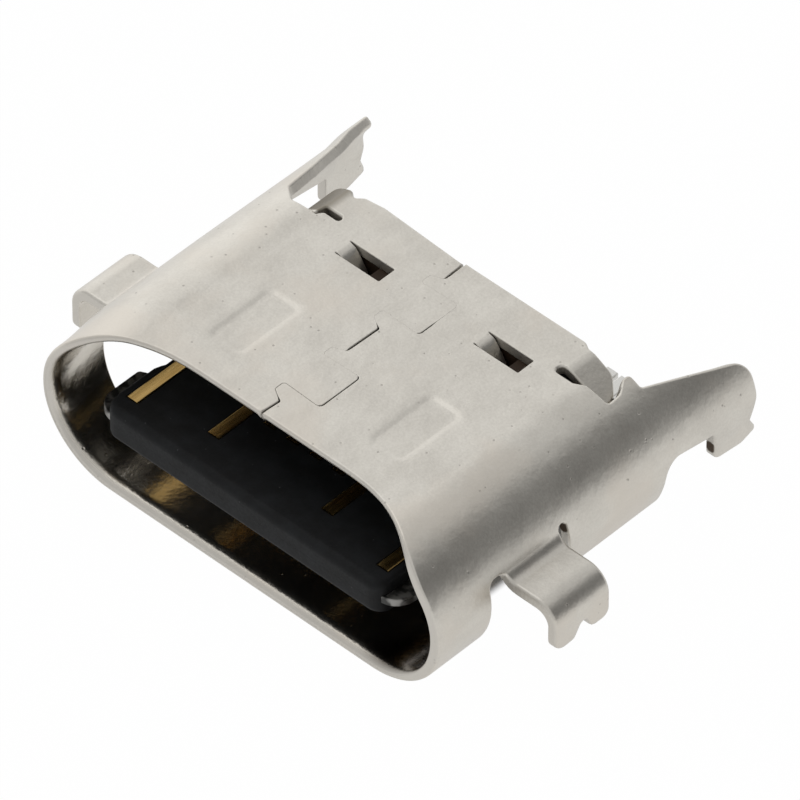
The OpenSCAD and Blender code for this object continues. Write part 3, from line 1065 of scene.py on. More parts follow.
    def _tab_strip(self, lift: float, reach: float) -> tuple[float, float, Strip]:
        """Folded line of a tab.

        Args:
            lift: How far the tab sits above its drawn height.
            reach: Distance of its leg's middle line from the middle plane.

        Returns:
            Places round the section where it leaves the wall and where its leg is at z = 0, and the line.
        """
        bend_z = self.tab_z + lift + self.tab_bend
        lean = math.acos(bend_z / (self.radius + self.tab_bend))
        start = self.flat + self.radius * lean
        x, z = self.tube.at(np.array([start]))[:2, 0]
        flat = reach - self.knee - x - self.tab_bend * math.sin(lean)
        strip = Strip(x, z, lean, (
            Bend(self.tab_bend * lean, -lean), Bend(flat),
            Bend(self.knee * math.pi / 2, math.pi / 2), Bend(1.0)))
        leg_start = start + sum(bend.length for bend in strip.bends[:3])
        return start, leg_start + bend_z - self.tab_bend - self.knee, strip

    def at_foot(self, z: float, side: Side) -> float:
        """Place along a tab where its foot is at height z."""
        return self.tabs[side][1] - z

    def _halves(self, u: np.ndarray) -> tuple[np.ndarray, np.ndarray]:
        """Whether each place across the blank is on its right half, and how far from the top's middle."""
        right = u <= self.half_turn
        return right, np.where(right, u, self.full_turn - u)

    def front(self, u: np.ndarray) -> np.ndarray:
        """Set-back of the front edge at each place across the blank."""
        right, place = self._halves(u)
        x, z = self.tube.at(np.abs(place))[:2]
        run = np.where(right, self.lip_x1[1], self.lip_x1[0]) - self.lip_x0
        share = np.clip((x - self.lip_x0) / run, 0, 1)
        return np.where(z > 0, self.lip_back * (1 + np.cos(math.pi * share ** self.lip_power)) / 2, 0.0)

    def _pad_distance(self, place: np.ndarray, depth: np.ndarray) -> np.ndarray:
        """Distance from a pad's outline, negative within it."""
        across = np.abs(place - self.pad[0]) - self.pad_half[0] + self.pad_round
        along = np.abs(depth - self.pad[1]) - self.pad_half[1] + self.pad_round
        beyond = np.hypot(np.maximum(across, 0), np.maximum(along, 0))
        return beyond + np.minimum(np.maximum(across, along), 0) - self.pad_round

    def _raise(self, right: np.ndarray, place: np.ndarray, depth: np.ndarray) -> np.ndarray:
        """How far the folded sheet is pressed outwards: the pads, and the bulge of the left side."""
        pressed = smooth(0.5 - self._pad_distance(place, depth) / (2 * self.pad_edge))
        swell, before = np.zeros(len(depth)), 0.0
        for level, (start, run) in zip(self.bulge, self.bulge_along):
            swell += (level - before) * smooth((depth - start) / run)
            before = level
        for start, run in self.bulge_round:
            swell *= smooth((place - start) / run)
        return np.where(right, 0.0, swell) - self.pad_sink * pressed

    def middle(self, uv: np.ndarray) -> np.ndarray:
        """Middle of the folded sheet at each place of the blank."""
        u, depth = uv.T
        right, place = self._halves(u)
        form = self.tube.at(place)
        lift = self._raise(right, place, depth)
        notch_middles = (self.ring_depth + self.tab_y0) / 2, (self.tab_y1 + self.wall_y0) / 2
        by_tab = (depth > notch_middles[0]) & (depth < notch_middles[1])
        by_tab &= place < (self.at_foot(self.foot_z, Side.RIGHT) + self.half_turn - self.bottom_half) / 2
        reach = self.strap_tip[1] - self.strap_taper * np.maximum(0, depth - self.strap_taper_y)
        by_strap = place < np.where(right, reach, self.strap_tip[0]) + self.strap_margin[0]
        by_strap &= depth > np.where(right, self.strap_y0, self.left_strap_y0) - self.strap_margin[1]
        on_foot = (place > self.foot_start) & (depth > self.foot_y)
        form[:, on_foot] = self.foot.at(place[on_foot] - self.foot_start)
        for hand, (start, strip) in self.straps.items():
            on = by_strap & (place > start) & (right == (hand is Side.RIGHT))
            form[:, on] = strip.at(place[on] - start)
            lift[on] = 0
        for hand, (start, _, strip) in self.tabs.items():
            on = by_tab & (place > start) & (right == (hand is Side.RIGHT))
            form[:, on] = strip.at(place[on] - start)
            shift = self._raise(right[on], np.full(np.count_nonzero(on), start), depth[on])
            form[0, on] += shift * math.sin(strip.heading)
            form[1, on] += shift * math.cos(strip.heading)
            lift[on] = 0
        form[[0, 2]] *= np.where(right, 1.0, -1.0)
        flap_low = self.window_y + self.flap_gap / 2
        flap_high = self.window_y + self.window_w - self.flap_gap / 2
        flap_reach = (self.flap_len + self.window_len) / 2
        for hinge in self.hinges:
            on = (u > hinge) & (u < hinge + flap_reach) & (depth > flap_low) & (depth < flap_high)
            form[:, on] = self.flap.at(u[on] - hinge)
            form[0, on] += hinge if hinge < self.half_turn else hinge - self.full_turn
        x, z, nx, nz = form
        return np.column_stack([x + nx * lift, depth, z + nz * lift])

    def surface(self, uv: np.ndarray) -> tuple[np.ndarray, np.ndarray]:
        """Middle of the folded sheet and its outer direction at each place of the blank."""
        step = 2e-4
        across = self.middle(uv + [step, 0]) - self.middle(uv - [step, 0])
        along = self.middle(uv + [0, step]) - self.middle(uv - [0, step])
        normal = np.cross(across, along)
        return self.middle(uv), normal / np.linalg.norm(normal, axis=1)[:, None]

    def _wing_edge(self, side: Side) -> list[Corner]:
        """Edge from the strap's slot round the wing and its foot, which differs from side to side."""
        root = [Corner(4.83, 5.35, 0.3), Corner(self.at_height(self.skirt_z), 5.20, 0.12)]
        if side is Side.RIGHT:
            return [
                Corner(2.86, self.slot_y, 0.1), Corner(3.04, 4.81, 0.1), Corner(3.48, 4.82, 0.06),
                Corner(3.46, 5.10, 0.1), Corner(3.31, 5.33, 0.1), Corner(3.29, 5.50, 0.09),
                Corner(3.57, 5.50, 0.05), Corner(4.20, self.wing_end, 0.4),
                Corner(4.83, self.wing_end, 0.3), Corner(5.22, 7.26, 0.06),
                Corner(5.48, 7.41, 0.08), Corner(5.60, 7.05, 0.25), Corner(5.53, 6.41, 0.16),
                Corner(4.98, 6.41, 0.05), *root]
        return [
            Corner(3.30, 4.71, 0.1), Corner(3.62, 4.98, 0.15), Corner(3.70, 5.62, 0.3),
            Corner(4.10, 7.34, 0.15), Corner(4.45, 7.31, 0.3), Corner(4.95, 7.45, 0.3),
            Corner(5.21, 7.36, 0.06), Corner(5.50, 7.47, 0.1), Corner(5.62, 7.10, 0.2),
            Corner(5.60, 6.45, 0.15), Corner(4.98, 6.45, 0.05), *root]

    def _strap_edge(self, side: Side) -> list[Corner]:
        """Edge from the top's rear edge round the strap into its slot, which differs from side to side."""
        if side is Side.RIGHT:
            tip, front, end = self.strap_tip[1], self.strap_y0, self.strap_y1
            return [
                Corner(2.38, self.top_depth, 0.15), Corner(2.52, end, 0.12), Corner(3.05, end, 0.24),
                Corner(tip - 0.01, self.strap_taper_y, 0.24), Corner(tip, front, 0.12),
                Corner(self.strap_x, front, 0.08), Corner(self.strap_x, self.slot_y, 0.08)]
        tip, front = self.strap_tip[0], self.left_strap_y0
        return [
            Corner(2.07, 5.57, 0.3), Corner(2.46, 5.52, 0.08), Corner(2.60, 5.40, 0.06),
            Corner(2.72, 5.50, 0.1), Corner(tip, 5.53, 0.14), Corner(tip, front, 0.06),
            Corner(2.86, front, 0.05), Corner(2.77, 4.94, 0.06), Corner(2.40, 4.94, 0.055),
            Corner(2.40, 4.83, 0.055), Corner(2.71, 4.83, 0.06), Corner(2.79, 4.71, 0.04)]

    def side_edge(self, side: Side) -> list[Corner]:
        """Edge of one side of the blank, from the top's rear edge to the bottom's.

        Args:
            side: The side.

        Returns:
            Corners, each by its place round the section and its depth.
        """
        hand = list(Side).index(side)
        front_top, rear_top = (self.at_height(z + self.tab_lift[hand]) for z in self.notch_z)
        foot = self.at_foot(self.foot_z, side)
        tab = [
            Corner(self.at_height(self.skirt_z), self.wall_y0, 0.05), Corner(rear_top, self.wall_y0, 0.08),
            Corner(rear_top, self.tab_y1, 0.08), Corner(foot, self.tab_y1, 0.18), Corner(foot, 2.45, 0.12),
            *(Corner(self.at_foot(z, side), y, r) for z, y, r in self.foot_nick),
            Corner(foot, self.tab_y0, 0.2), Corner(front_top, self.tab_y0, 0.16),
            Corner(front_top, self.ring_by_tab[hand], 0.16)]
        bottom_edge = self.half_turn - self.bottom_half
        bottom = [Corner(bottom_edge, self.ring_depth, 0.5), Corner(bottom_edge, self.bottom_depth, 0.1)]
        return self._strap_edge(side) + self._wing_edge(side) + tab + bottom

    def _key(self, y: float) -> list[Corner]:
        """Seam round one dovetail key whose middle is at depth y."""
        return [
            Corner(self.seam_x + 0.03, y - self.key_half - 0.33, 0.05),
            Corner(self.hook_x, y - self.key_half - 0.18, 0.06),
            Corner(self.hook_x, y - self.key_half + 0.03, 0.06),
            Corner(self.key_reach, y - self.key_half, 0.09),
            Corner(self.key_reach, y + self.key_half, 0.09),
            Corner(self.hook_x, y + self.key_half - 0.03, 0.06),
            Corner(self.hook_x, y + self.key_half + 0.18, 0.06),
            Corner(self.seam_x + 0.01, y + self.key_half + 0.28, 0.05)]

    def _seam(self, side: Side) -> tuple[np.ndarray, np.ndarray]:
        """One edge of the seam, front to rear: open on the straights and closed round the keys.

        Args:
            side: The side of the seam.

        Returns:
            The edge's points and the radii that round it at each.
        """
        rear = self.top_depth if side is Side.RIGHT else self.left_top_depth
        corners = [Corner(self.seam_x, self.lip_back)]
        for y in self.keys:
            corners += self._key(y)
        path = rounded([*corners, Corner(self.seam_x, rear)], closed=False)
        away = np.min([np.abs(path[:, 1] - y) for y in self.keys], 0) - self.key_half
        share = np.clip((away - self.slit_open[0]) / self.slit_open[1], 0, 1)
        ahead_of_key = smooth((self.keys[0] - self.key_blend - path[:, 1]) / self.key_blend)
        closed_gap, closed_round = (
            low + (high - low) * ahead_of_key for low, high in (self.closed_slit, self.closed_round))
        gap = closed_gap + (self.slit - closed_gap) * share
        at_end = path[:, 0] > self.key_reach - self.key_end
        up_to_rear_key = smooth((self.keys[1] - path[:, 1]) / self.key_blend)
        opened = np.where(path[:, 1] < self.keys[1] - 1, 1.0, up_to_rear_key)
        gap += self.key_slit * at_end * opened
        share = np.maximum(share, 0.5 * at_end * opened)
        ahead = np.gradient(path, axis=0)
        ahead /= np.linalg.norm(ahead, axis=1)[:, None]
        aside = np.stack([ahead[:, 1], -ahead[:, 0]], 1) * side.value
        radii = closed_round[:, None] + share[:, None] * (np.array(self.seam_round) - closed_round[:, None])
        return path + aside * gap[:, None] / 2, radii

    def _lip(self, start: float, end: float) -> tuple[np.ndarray, np.ndarray]:
        """Front edge, from one side of the seam round to the other.

        Args:
            start: Place of the seam's right edge on the blank.
            end: Place of its left edge.

        Returns:
            The edge's points, and at each the outer radius and the height and length of the lead-in.
        """
        us = np.linspace(start, end, math.ceil(self.full_turn / STRAIGHT_STEP))
        top, wall, bottom = self.lip_rounds
        stops = [stop % self.full_turn for stop in self.lip_stops]
        radii = [np.interp(us, stops, line) for line in zip(top, wall, wall, bottom, bottom, top)]
        return np.column_stack([us, self.front(us)]), np.column_stack(radii)

    def outer_rim(self) -> Rim:
        """Edge of the whole blank."""
        right_seam, right_radii = self._seam(Side.RIGHT)
        left_seam, left_radii = self._seam(Side.LEFT)
        left_seam = left_seam + [self.full_turn, 0]
        lip, lip_radii = self._lip(right_seam[0, 0], left_seam[0, 0])
        left = [Corner(self.full_turn - c.x, c.y, c.r) for c in self.side_edge(Side.LEFT)]
        right = self.side_edge(Side.RIGHT)[::-1]
        ends = [Corner(*left_seam[-1]), Corner(*right_seam[-1])]
        rear = rounded([ends[0], *left, *right, ends[1]], closed=False)
        rear_radii = np.tile(self.edge_round, (len(rear), 1))
        rear_radii[(rear[:, 0] > self.half_turn) & (rear[:, 1] > self.wing_tip_y), 1] = self.wing_round
        places, depths = np.minimum(rear[:, 0], self.full_turn - rear[:, 0]), rear[:, 1]
        on_tab = (places > self.tab_place) & (depths > self.ring_depth) & (depths < self.tab_y1 + 0.01)
        rear_radii[on_tab, 0] = self.tab_round
        points = np.vstack([lip, left_seam[1:-1], rear, right_seam[-2:0:-1]])
        plain = np.vstack([left_radii[1:-1], rear_radii, right_radii[-2:0:-1]])
        radii = np.vstack([lip_radii, plain[:, [0, 1, 1]]])
        eased = (np.roll(radii, 1, 0) + radii + np.roll(radii, -1, 0)) / 3
        return Rim(points, *eased.T)

    def window_rim(self, hinge: float) -> Rim:
        """Edge of a window and of the flap lanced from its left end.

        Args:
            hinge: Place of the window's left end on the blank.

        Returns:
            The edge.
        """
        low, high = self.window_y, self.window_y + self.window_w
        far, tip = hinge + self.window_len, hinge + self.flap_len
        slit = self.flap_gap / 2
        corners = [
            Corner(hinge, low, slit), Corner(far, low, 0.02),
            Corner(far, high, 0.02), Corner(hinge, high, slit),
            Corner(hinge, high - self.flap_gap, slit), Corner(tip, high - self.flap_gap, 0.045),
            Corner(tip, low + self.flap_gap, 0.045), Corner(hinge, low + self.flap_gap, slit)]
        return Rim(rounded(corners), *self.window_round)

    def inner_places(self) -> np.ndarray:
        """Places within the blank, close together where the sheet turns sharply."""
        coarse = lattice(-0.5, self.full_turn + 0.4, 0.0, self.wing_end, self.grid, self.grid)
        _, place = self._halves(coarse[:, 0])
        depth = coarse[:, 1]
        tab_start, tab_end = self.tabs[Side.LEFT][0] - 0.04, self.at_foot(self.foot_z, Side.RIGHT)
        on_tab = (place > tab_start) & (place < tab_end) & (depth > self.ring_depth)
        on_tab &= depth < (self.tab_y1 + self.wall_y0) / 2
        on_strap = (place > self.strap_x) & (place < self.strap_tip[1]) & (depth > self.slot_y)
        at_lip = depth - self.front(coarse[:, 0]) < self.lip_band
        at_pad = np.abs(self._pad_distance(place, depth)) < self.pad_band
        on_window = np.abs(place - self.window_x[1] - self.window_len / 2) < self.window_len / 2
        on_window &= np.abs(depth - self.window_y - self.window_w / 2) < self.window_w / 2
        kept = [coarse[~(on_tab | on_strap | at_lip | at_pad | on_window)]]
        fine = [
            lattice(tab_start, tab_end, self.tab_y0, self.tab_y1, *self.tab_grid),
            lattice(self.strap_x, self.strap_tip[1], self.slot_y, self.top_depth, *self.strap_grid)]
        for offset in self.pad_rows:
            x, y = self.pad
            w, h = self.pad_half[0] + offset, self.pad_half[1] + offset
            fine.append(rounded(rectangle(x - w, y - h, x + w, y + h, self.pad_round + offset)))
        for points in fine:
            kept += [points, np.column_stack([self.full_turn - points[:, 0], points[:, 1]])]
        us = np.linspace(-0.2, self.full_turn - 0.3, self.lip_count)
        kept += [np.column_stack([us, self.front(us) + back]) for back in self.lip_rows]
        low, high = self.window_y, self.window_y + self.window_w
        kept += [lattice(hinge, hinge + self.flap_len, low, high, *self.flap_grid) for hinge in self.hinges]
        return np.vstack(kept)

    def build(self) -> Piece:
        """Folds the blank into the shell."""
        rims = [self.outer_rim(), *(self.window_rim(hinge) for hinge in self.hinges)]
        mesher = SheetMesher(self.surface, self.sheet, rims, self.inner_places())
        made = mesher.build("shell_sheet", self.seat)
        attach(made, BODY)
        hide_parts("shell")
        return made

    def dress(self, piece: Piece) -> None:
        """Gives the shell its finish."""
        piece.data.materials.append(NickelFinish(self.seat).material())


# Tongue and base


@dataclass(frozen=True)
class ContactSizes:
    """Places and sizes of the contacts of both rows, from the middle out."""

    width: float = 0.24
    thick: float = 0.12
    face_z: float = 0.35
    proud: float = 0.006
    places: tuple[float, ...] = (0.25, 0.75, 1.25, 2.75)
    fronts: tuple[float, ...] = (1.5, 1.5, 0.74, 0.43)
    upper_tails: tuple[float, ...] = (0.25, 1.25, 2.25, 3.05)
    lower_tails: tuple[float, ...] = (0.75, 1.75, 2.55, 3.35)
    fan_y: Pair = (4.45, 5.05)
    tail_end: float = 6.3
    tail_z: float = 0.16
    upper_step: Pair = (5.42, 5.58)
    lower_step: Pair = (5.49, 5.53)
    bend: float = 0.09
    edge: float = 0.02


@dataclass
class Tongue:
    """Moulded tongue in two halves, with the steel plate between them."""

    seat: Seat
    contacts: ContactSizes
    width: float = 6.06
    thick: float = 0.7
    front: float = 0.05
    corner: float = 0.25
    notch_y: Pair = (1.3, 2.25)
    notch_x: float = 2.93
    notch_run: Pair = (0.12, 0.08)
    base_y0: float = 4.10
    base_y1: float = 5.35
    base_half: float = 3.65
    edge_round: float = 0.07
    front_round: float = 0.16
    front_run: float = 0.3
    notch_round: float = 0.02
    notch_margin: Pair = (0.09, 0.2)
    part_line: float = 0.002
    plate_w: float = 6.69
    plate_t: float = 0.15
    plate_front: float = 0.15
    plate_corner: float = 0.4
    # How far the plate's rear stays within the base, along and across
    plate_back: Pair = (0.25, 0.5)
    plate_round: float = 0.02
    # Slots of the contacts: gap round each, run into the base, and radii of the corners and the edge
    pocket_gap: float = 0.015
    pocket_run: float = 0.1
    pocket_rounds: Pair = (0.03, 0.012)

    def plan(self, half: float, front: float, corner: float, back: float, back_half: float) -> list[Corner]:
        """Outline of the tongue or of the plate, anticlockwise.

        Args:
            half: Half the tongue's width.
            front: Depth of the front edge.
            corner: Radius of the front corners.
            back: Depth of the rear edge.
            back_half: Half the width within the base.

        Returns:
            The outline's corners.
        """
        (y0, y1), (out, within) = self.notch_y, self.notch_run
        right = [
            Corner(half, front, corner), Corner(half, y0 - out, 0.08),
            Corner(self.notch_x, y0 + within, 0.08), Corner(self.notch_x, y1 - within, 0.08),
            Corner(half, y1 + out, 0.08), Corner(half, self.base_y0, 0.05),
            Corner(back_half, self.base_y0, 0.1), Corner(back_half, back, 0.1)]
        return [*right, *(Corner(-c.x, c.y, c.r) for c in reversed(right))]

    def _radii(self, outline: np.ndarray) -> np.ndarray:
        """Radius of the moulding's outer edge at each point: large at the front, small in the notches."""
        fall = np.clip((outline[:, 1] - self.front) / self.front_run, 0, 1)
        radii = self.front_round + (self.edge_round - self.front_round) * fall
        across, along = self.notch_margin
        within = np.abs(outline[:, 0]) < self.notch_x + across
        radii[within & (outline[:, 1] >= self.notch_y[0] - along)] = self.notch_round
        return (np.roll(radii, 1) + radii + np.roll(radii, -1)) / 3

    def _pockets(self) -> list[Rim]:
        """Slots that the contacts of one row lie in."""
        half = self.contacts.width / 2 + self.pocket_gap
        back = self.base_y0 + self.pocket_run
        corner, edge = self.pocket_rounds
        rims = []
        for place, front in zip(self.contacts.places, self.contacts.fronts):
            for side in (-1, 1):
                x = side * place
                corners = rectangle(x - half, front - self.pocket_gap, x + half, back, corner)
                rims.append(Rim(rounded(corners), edge, pocket=self.contacts.thick))
        return rims

    def build(self) -> list[Piece]:
        """Makes the two mouldings and the plate.

        Returns:
            The upper moulding, the lower moulding and the plate.
        """
        outline = rounded(self.plan(self.width / 2, self.front, self.corner, self.base_y1, self.base_half))
        radii = self._radii(outline)
        none = np.empty((0, 2))
        half = self.thick / 2
        made = []
        for row in Row:
            rims = [Rim(outline, radii, self.part_line), *self._pockets()]
            surface = level_surface(row.value * half / 2, row.value)
            name = row.name.lower()
            piece = SheetMesher(surface, half, rims, none).build(f"{name}_tongue_moulding", self.seat)
            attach(piece, BODY)
            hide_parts(f"{name}_insulator")
            made.append(piece)
        plate_half = self.plate_w / 2
        back, back_half = self.base_y1 - self.plate_back[0], plate_half - self.plate_back[1]
        plate_outline = rounded(self.plan(plate_half, self.plate_front, self.plate_corner, back, back_half))
        rim = Rim(plate_outline, self.plate_round, self.plate_round)
        piece = SheetMesher(level_surface(0.0, 1), self.plate_t, [rim], none).build("centre_plate", self.seat)
        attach(piece, BODY)
        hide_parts("mid_plate")
        return [*made, piece]

    def dress(self, pieces: Sequence[Piece], moulding: Material) -> None:
        """Gives the mouldings and the plate their finishes."""
        for piece in pieces[:2]:
            piece.data.materials.append(moulding)
        pieces[2].data.materials.append(PlateFinish().material())


@dataclass
class Base:
    """Block moulded round the root of the tongue, filling the rear of the shell."""

    seat: Seat
    mouth_w: float = 8.34
    mouth_h: float = 2.56
    fit: float = 0.02
    y0: float = 4.10
    y1: float = 5.35
    low_half: float = 2.70
    low_z: float = -0.50
    hole_half: Pair = (3.65, 0.35)
    hole_rounds: Pair = (0.04, 0.02)
    edge: float = 0.05
    # Pockets for the straps and at the corners: their inner, front and lower ends
    strap_pocket: Triple = (2.35, 4.66, 0.85)
    corner_pocket: Triple = (3.25, 4.66, 0.5)
    # Pockets under the windows: their places, spans and floor
    window_pockets: Pair = (-2.02, 1.02)
    pocket_x: Pair = (-0.2, 0.72)
    pocket_y: Pair = (4.22, 4.67)
    pocket_floor: float = 0.62
    arc_steps: int = 20
    far: float = 6.0

    def outline(self) -> list[Corner]:
        """Outline seen from behind: the mouth's oval above, a narrower foot below."""
        top = self.mouth_h / 2
        flat = (self.mouth_w - self.mouth_h) / 2 - self.fit
        start = math.asin(self.low_z / top)
        arc = [start + (math.pi / 2 - start) * k / self.arc_steps for k in range(self.arc_steps + 1)]
        oval = [Corner(flat + top * math.cos(a), top * math.sin(a)) for a in arc]
        foot = [Corner(self.low_half, -top, 0.1), Corner(self.low_half, self.low_z, 0.05)]
        right = [*foot, oval[0]._replace(r=0.1), *oval[1:]]
        return [*right, *(Corner(-c.x, c.y, c.r) for c in reversed(right))]

    def build(self) -> Piece:
        """Makes the block and cuts the pockets for the straps and the flaps."""
        x, z = self.hole_half
        corner, edge = self.hole_rounds
        hole = Rim(rounded(rectangle(-x, -z, x, z, corner)), edge, edge)
        rims = [Rim(rounded(self.outline()), self.edge, self.edge), hole]
        surface = upright_surface((self.y0 + self.y1) / 2)
        mesher = SheetMesher(surface, self.y1 - self.y0, rims, np.empty((0, 2)))
        piece = mesher.build("rear_moulding", self.seat)
        far = self.far
        boxes = []
        for x, y, z in (self.strap_pocket, self.corner_pocket):
            boxes += [((x, y, z), (far, far, far)), ((-far, y, z), (-x, far, far))]
        for hinge in self.window_pockets:
            boxes.append((
                (hinge + self.pocket_x[0], self.pocket_y[0], self.pocket_floor),
                (hinge + self.pocket_x[1], self.pocket_y[1], far)))
        for low, high in boxes:
            self._cut(piece, low, high)
        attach(piece, BODY)
        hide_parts("base_overmould")
        return piece

    def _cut(self, piece: Piece, low: Sequence[float], high: Sequence[float]) -> None:
        """Cuts a box out of the block.

        Args:
            piece: The block.
            low: The box's lowest corner, mm.
            high: The box's highest corner, mm.
        """
        corners = [(x, y, z) for x in (low[0], high[0]) for y in (low[1], high[1]) for z in (low[2], high[2])]
        sides = [(0, 1, 3, 2), (4, 6, 7, 5), (0, 4, 5, 1), (2, 3, 7, 6), (0, 2, 6, 4), (1, 5, 7, 3)]
        mesh = bpy.data.meshes.new("cutter")
        mesh.from_pydata(self.seat.place(np.array(corners)).tolist(), [], sides)
        cutter = placed("cutter", mesh)
        cut = piece.modifiers.new("pocket", "BOOLEAN")
        cut.operation = "DIFFERENCE"
        cut.solver = "EXACT"
        cut.object = cutter
        keep_as_mesh(piece)
        bpy.data.objects.remove(cutter)

    def dress(self, piece: Piece, moulding: Material) -> None:
        """Gives the block its finish."""
        piece.data.materials.append(moulding)


def keep_as_mesh(piece: Piece) -> None:
    """Puts the result of a piece's modifiers into its mesh and removes them."""
    bpy.context.view_layer.update()
    graph = bpy.context.evaluated_depsgraph_get()
    made = bpy.data.meshes.new_from_object(piece.evaluated_get(graph), depsgraph=graph)
    piece.modifiers.clear()
    old, piece.data = piece.data, made
    made.name = piece.name
    if old.users == 0:
        bpy.data.meshes.remove(old)


# Contacts


@dataclass
class ContactRow:
    """Eight stamped contacts of one row, swept along their routes by a node tree."""

    seat: Seat
    sizes: ContactSizes
    row: Row

    def _route(self, i: int, side: int) -> list[Triple]:
        """Middle line of one contact, from its front end to the end of its solder tail.

        Args:
            i: Its number from the middle.
            side: 1 for the right half, -1 for the left.

        Returns:
            The line's corners, mm.
        """
        s = self.sizes
        upper = self.row is Row.UPPER
        x0 = side * s.places[i]
        x1 = side * (s.upper_tails if upper else s.lower_tails)[i]
        z = self.row.value * (s.face_z - s.thick / 2 + s.proud)
        step = s.upper_step if upper else s.lower_step
        return [
            (x0, s.fronts[i], z), (x0, s.fan_y[0], z), (x1, s.fan_y[1], z), (x1, step[0], z),
            (x1, step[1], s.tail_z), (x1, s.tail_end, s.tail_z)]

    def _routes_mesh(self) -> bpy.types.Mesh:
        """All middle lines of the row, as edges."""
        points: list[Triple] = []
        edges: list[tuple[int, int]] = []
        for side in (-1, 1):
            for i in range(len(self.sizes.places)):
                route = self._route(i, side)
                first = len(points)
                points += route
                edges += [(first + k, first + k + 1) for k in range(len(route) - 1)]
        mesh = bpy.data.meshes.new("contact_routes")
        mesh.from_pydata(self.seat.place(np.array(points)).tolist(), edges, [])
        return mesh

    @staticmethod
    def sweep_tree() -> bpy.types.NodeTree:
        """Node tree that sweeps a rounded strip along every route."""
        tree = bpy.data.node_groups.new("contact_sweep", "GeometryNodeTree")
        face = tree.interface
        face.new_socket("Routes", in_out="INPUT", socket_type="NodeSocketGeometry")
        for name in ("Width", "Thickness", "Edge Radius", "Bend Radius"):
            face.new_socket(name, in_out="INPUT", socket_type="NodeSocketFloat")
        face.new_socket("Finish", in_out="INPUT", socket_type="NodeSocketMaterial")
        face.new_socket("Contacts", in_out="OUTPUT", socket_type="NodeSocketGeometry")
        start, end = tree.nodes.new("NodeGroupInput"), tree.nodes.new("NodeGroupOutput")

        def node(kind: str, settings: dict, sockets: dict) -> Socket:
            """Adds a node and returns its first output."""
            made = tree.nodes.new(kind)
            for key, value in settings.items():
                setattr(made, key, value)
            for key, value in sockets.items():
                if isinstance(value, Socket):
                    tree.links.new(value, made.inputs[key])
                else:
                    made.inputs[key].default_value = value
            return made.outputs[0]

        given = start.outputs
        line = node("GeometryNodeMeshToCurve", {}, {"Mesh": given["Routes"]})
        bent = node("GeometryNodeFilletCurve", {"mode": "POLY"}, {
            "Curve": line, "Count": 6, "Radius": given["Bend Radius"], "Limit Radius": True})
        level = node("GeometryNodeSetCurveNormal", {"mode": "Z_UP"}, {"Curve": bent})
        section = node("GeometryNodeCurvePrimitiveQuadrilateral", {}, {
            "Width": given["Width"], "Height": given["Thickness"]})
        eased = node("GeometryNodeFilletCurve", {"mode": "POLY"}, {
            "Curve": section, "Count": 2, "Radius": given["Edge Radius"], "Limit Radius": True})
        swept = node("GeometryNodeCurveToMesh", {}, {
            "Curve": level, "Profile Curve": eased, "Fill Caps": True})
        flat = node("GeometryNodeSetShadeSmooth", {}, {"Geometry": swept, "Shade Smooth": False})
        real = node("GeometryNodeRealizeInstances", {}, {"Geometry": flat})
        dressed = node("GeometryNodeSetMaterial", {}, {"Geometry": real, "Material": given["Finish"]})
        tree.links.new(dressed, end.inputs["Contacts"])
        return tree

    def build(self, tree: bpy.types.NodeTree, finish: Material) -> Piece:
        """Makes the row.

        Args:
            tree: The sweep.
            finish: The contacts' material.

        Returns:
            The row as one piece.
        """
        name = f"{self.row.name.lower()}_contact"
        piece = placed(f"{name}_row", self._routes_mesh())
        sweep = piece.modifiers.new("sweep", "NODES")
        sweep.node_group = tree
        given = {
            "Width": self.sizes.width * MM, "Thickness": self.sizes.thick * MM,
            "Edge Radius": self.sizes.edge * MM, "Bend Radius": self.sizes.bend * MM, "Finish": finish}
        for socket in tree.interface.items_tree:
            if socket.in_out == "INPUT" and socket.name in given:
                sweep[socket.identifier] = given[socket.name]
        keep_as_mesh(piece)
        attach(piece, BODY)
        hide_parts(*(f"{name}_{i}" for i in range(1, 2 * len(self.sizes.places) + 1)))
        return piece


# Studio


@dataclass(frozen=True)
class Softbox:
    """A bright or dark patch of the room that the metal reflects."""

    towards: Triple
    inner: float
    outer: float


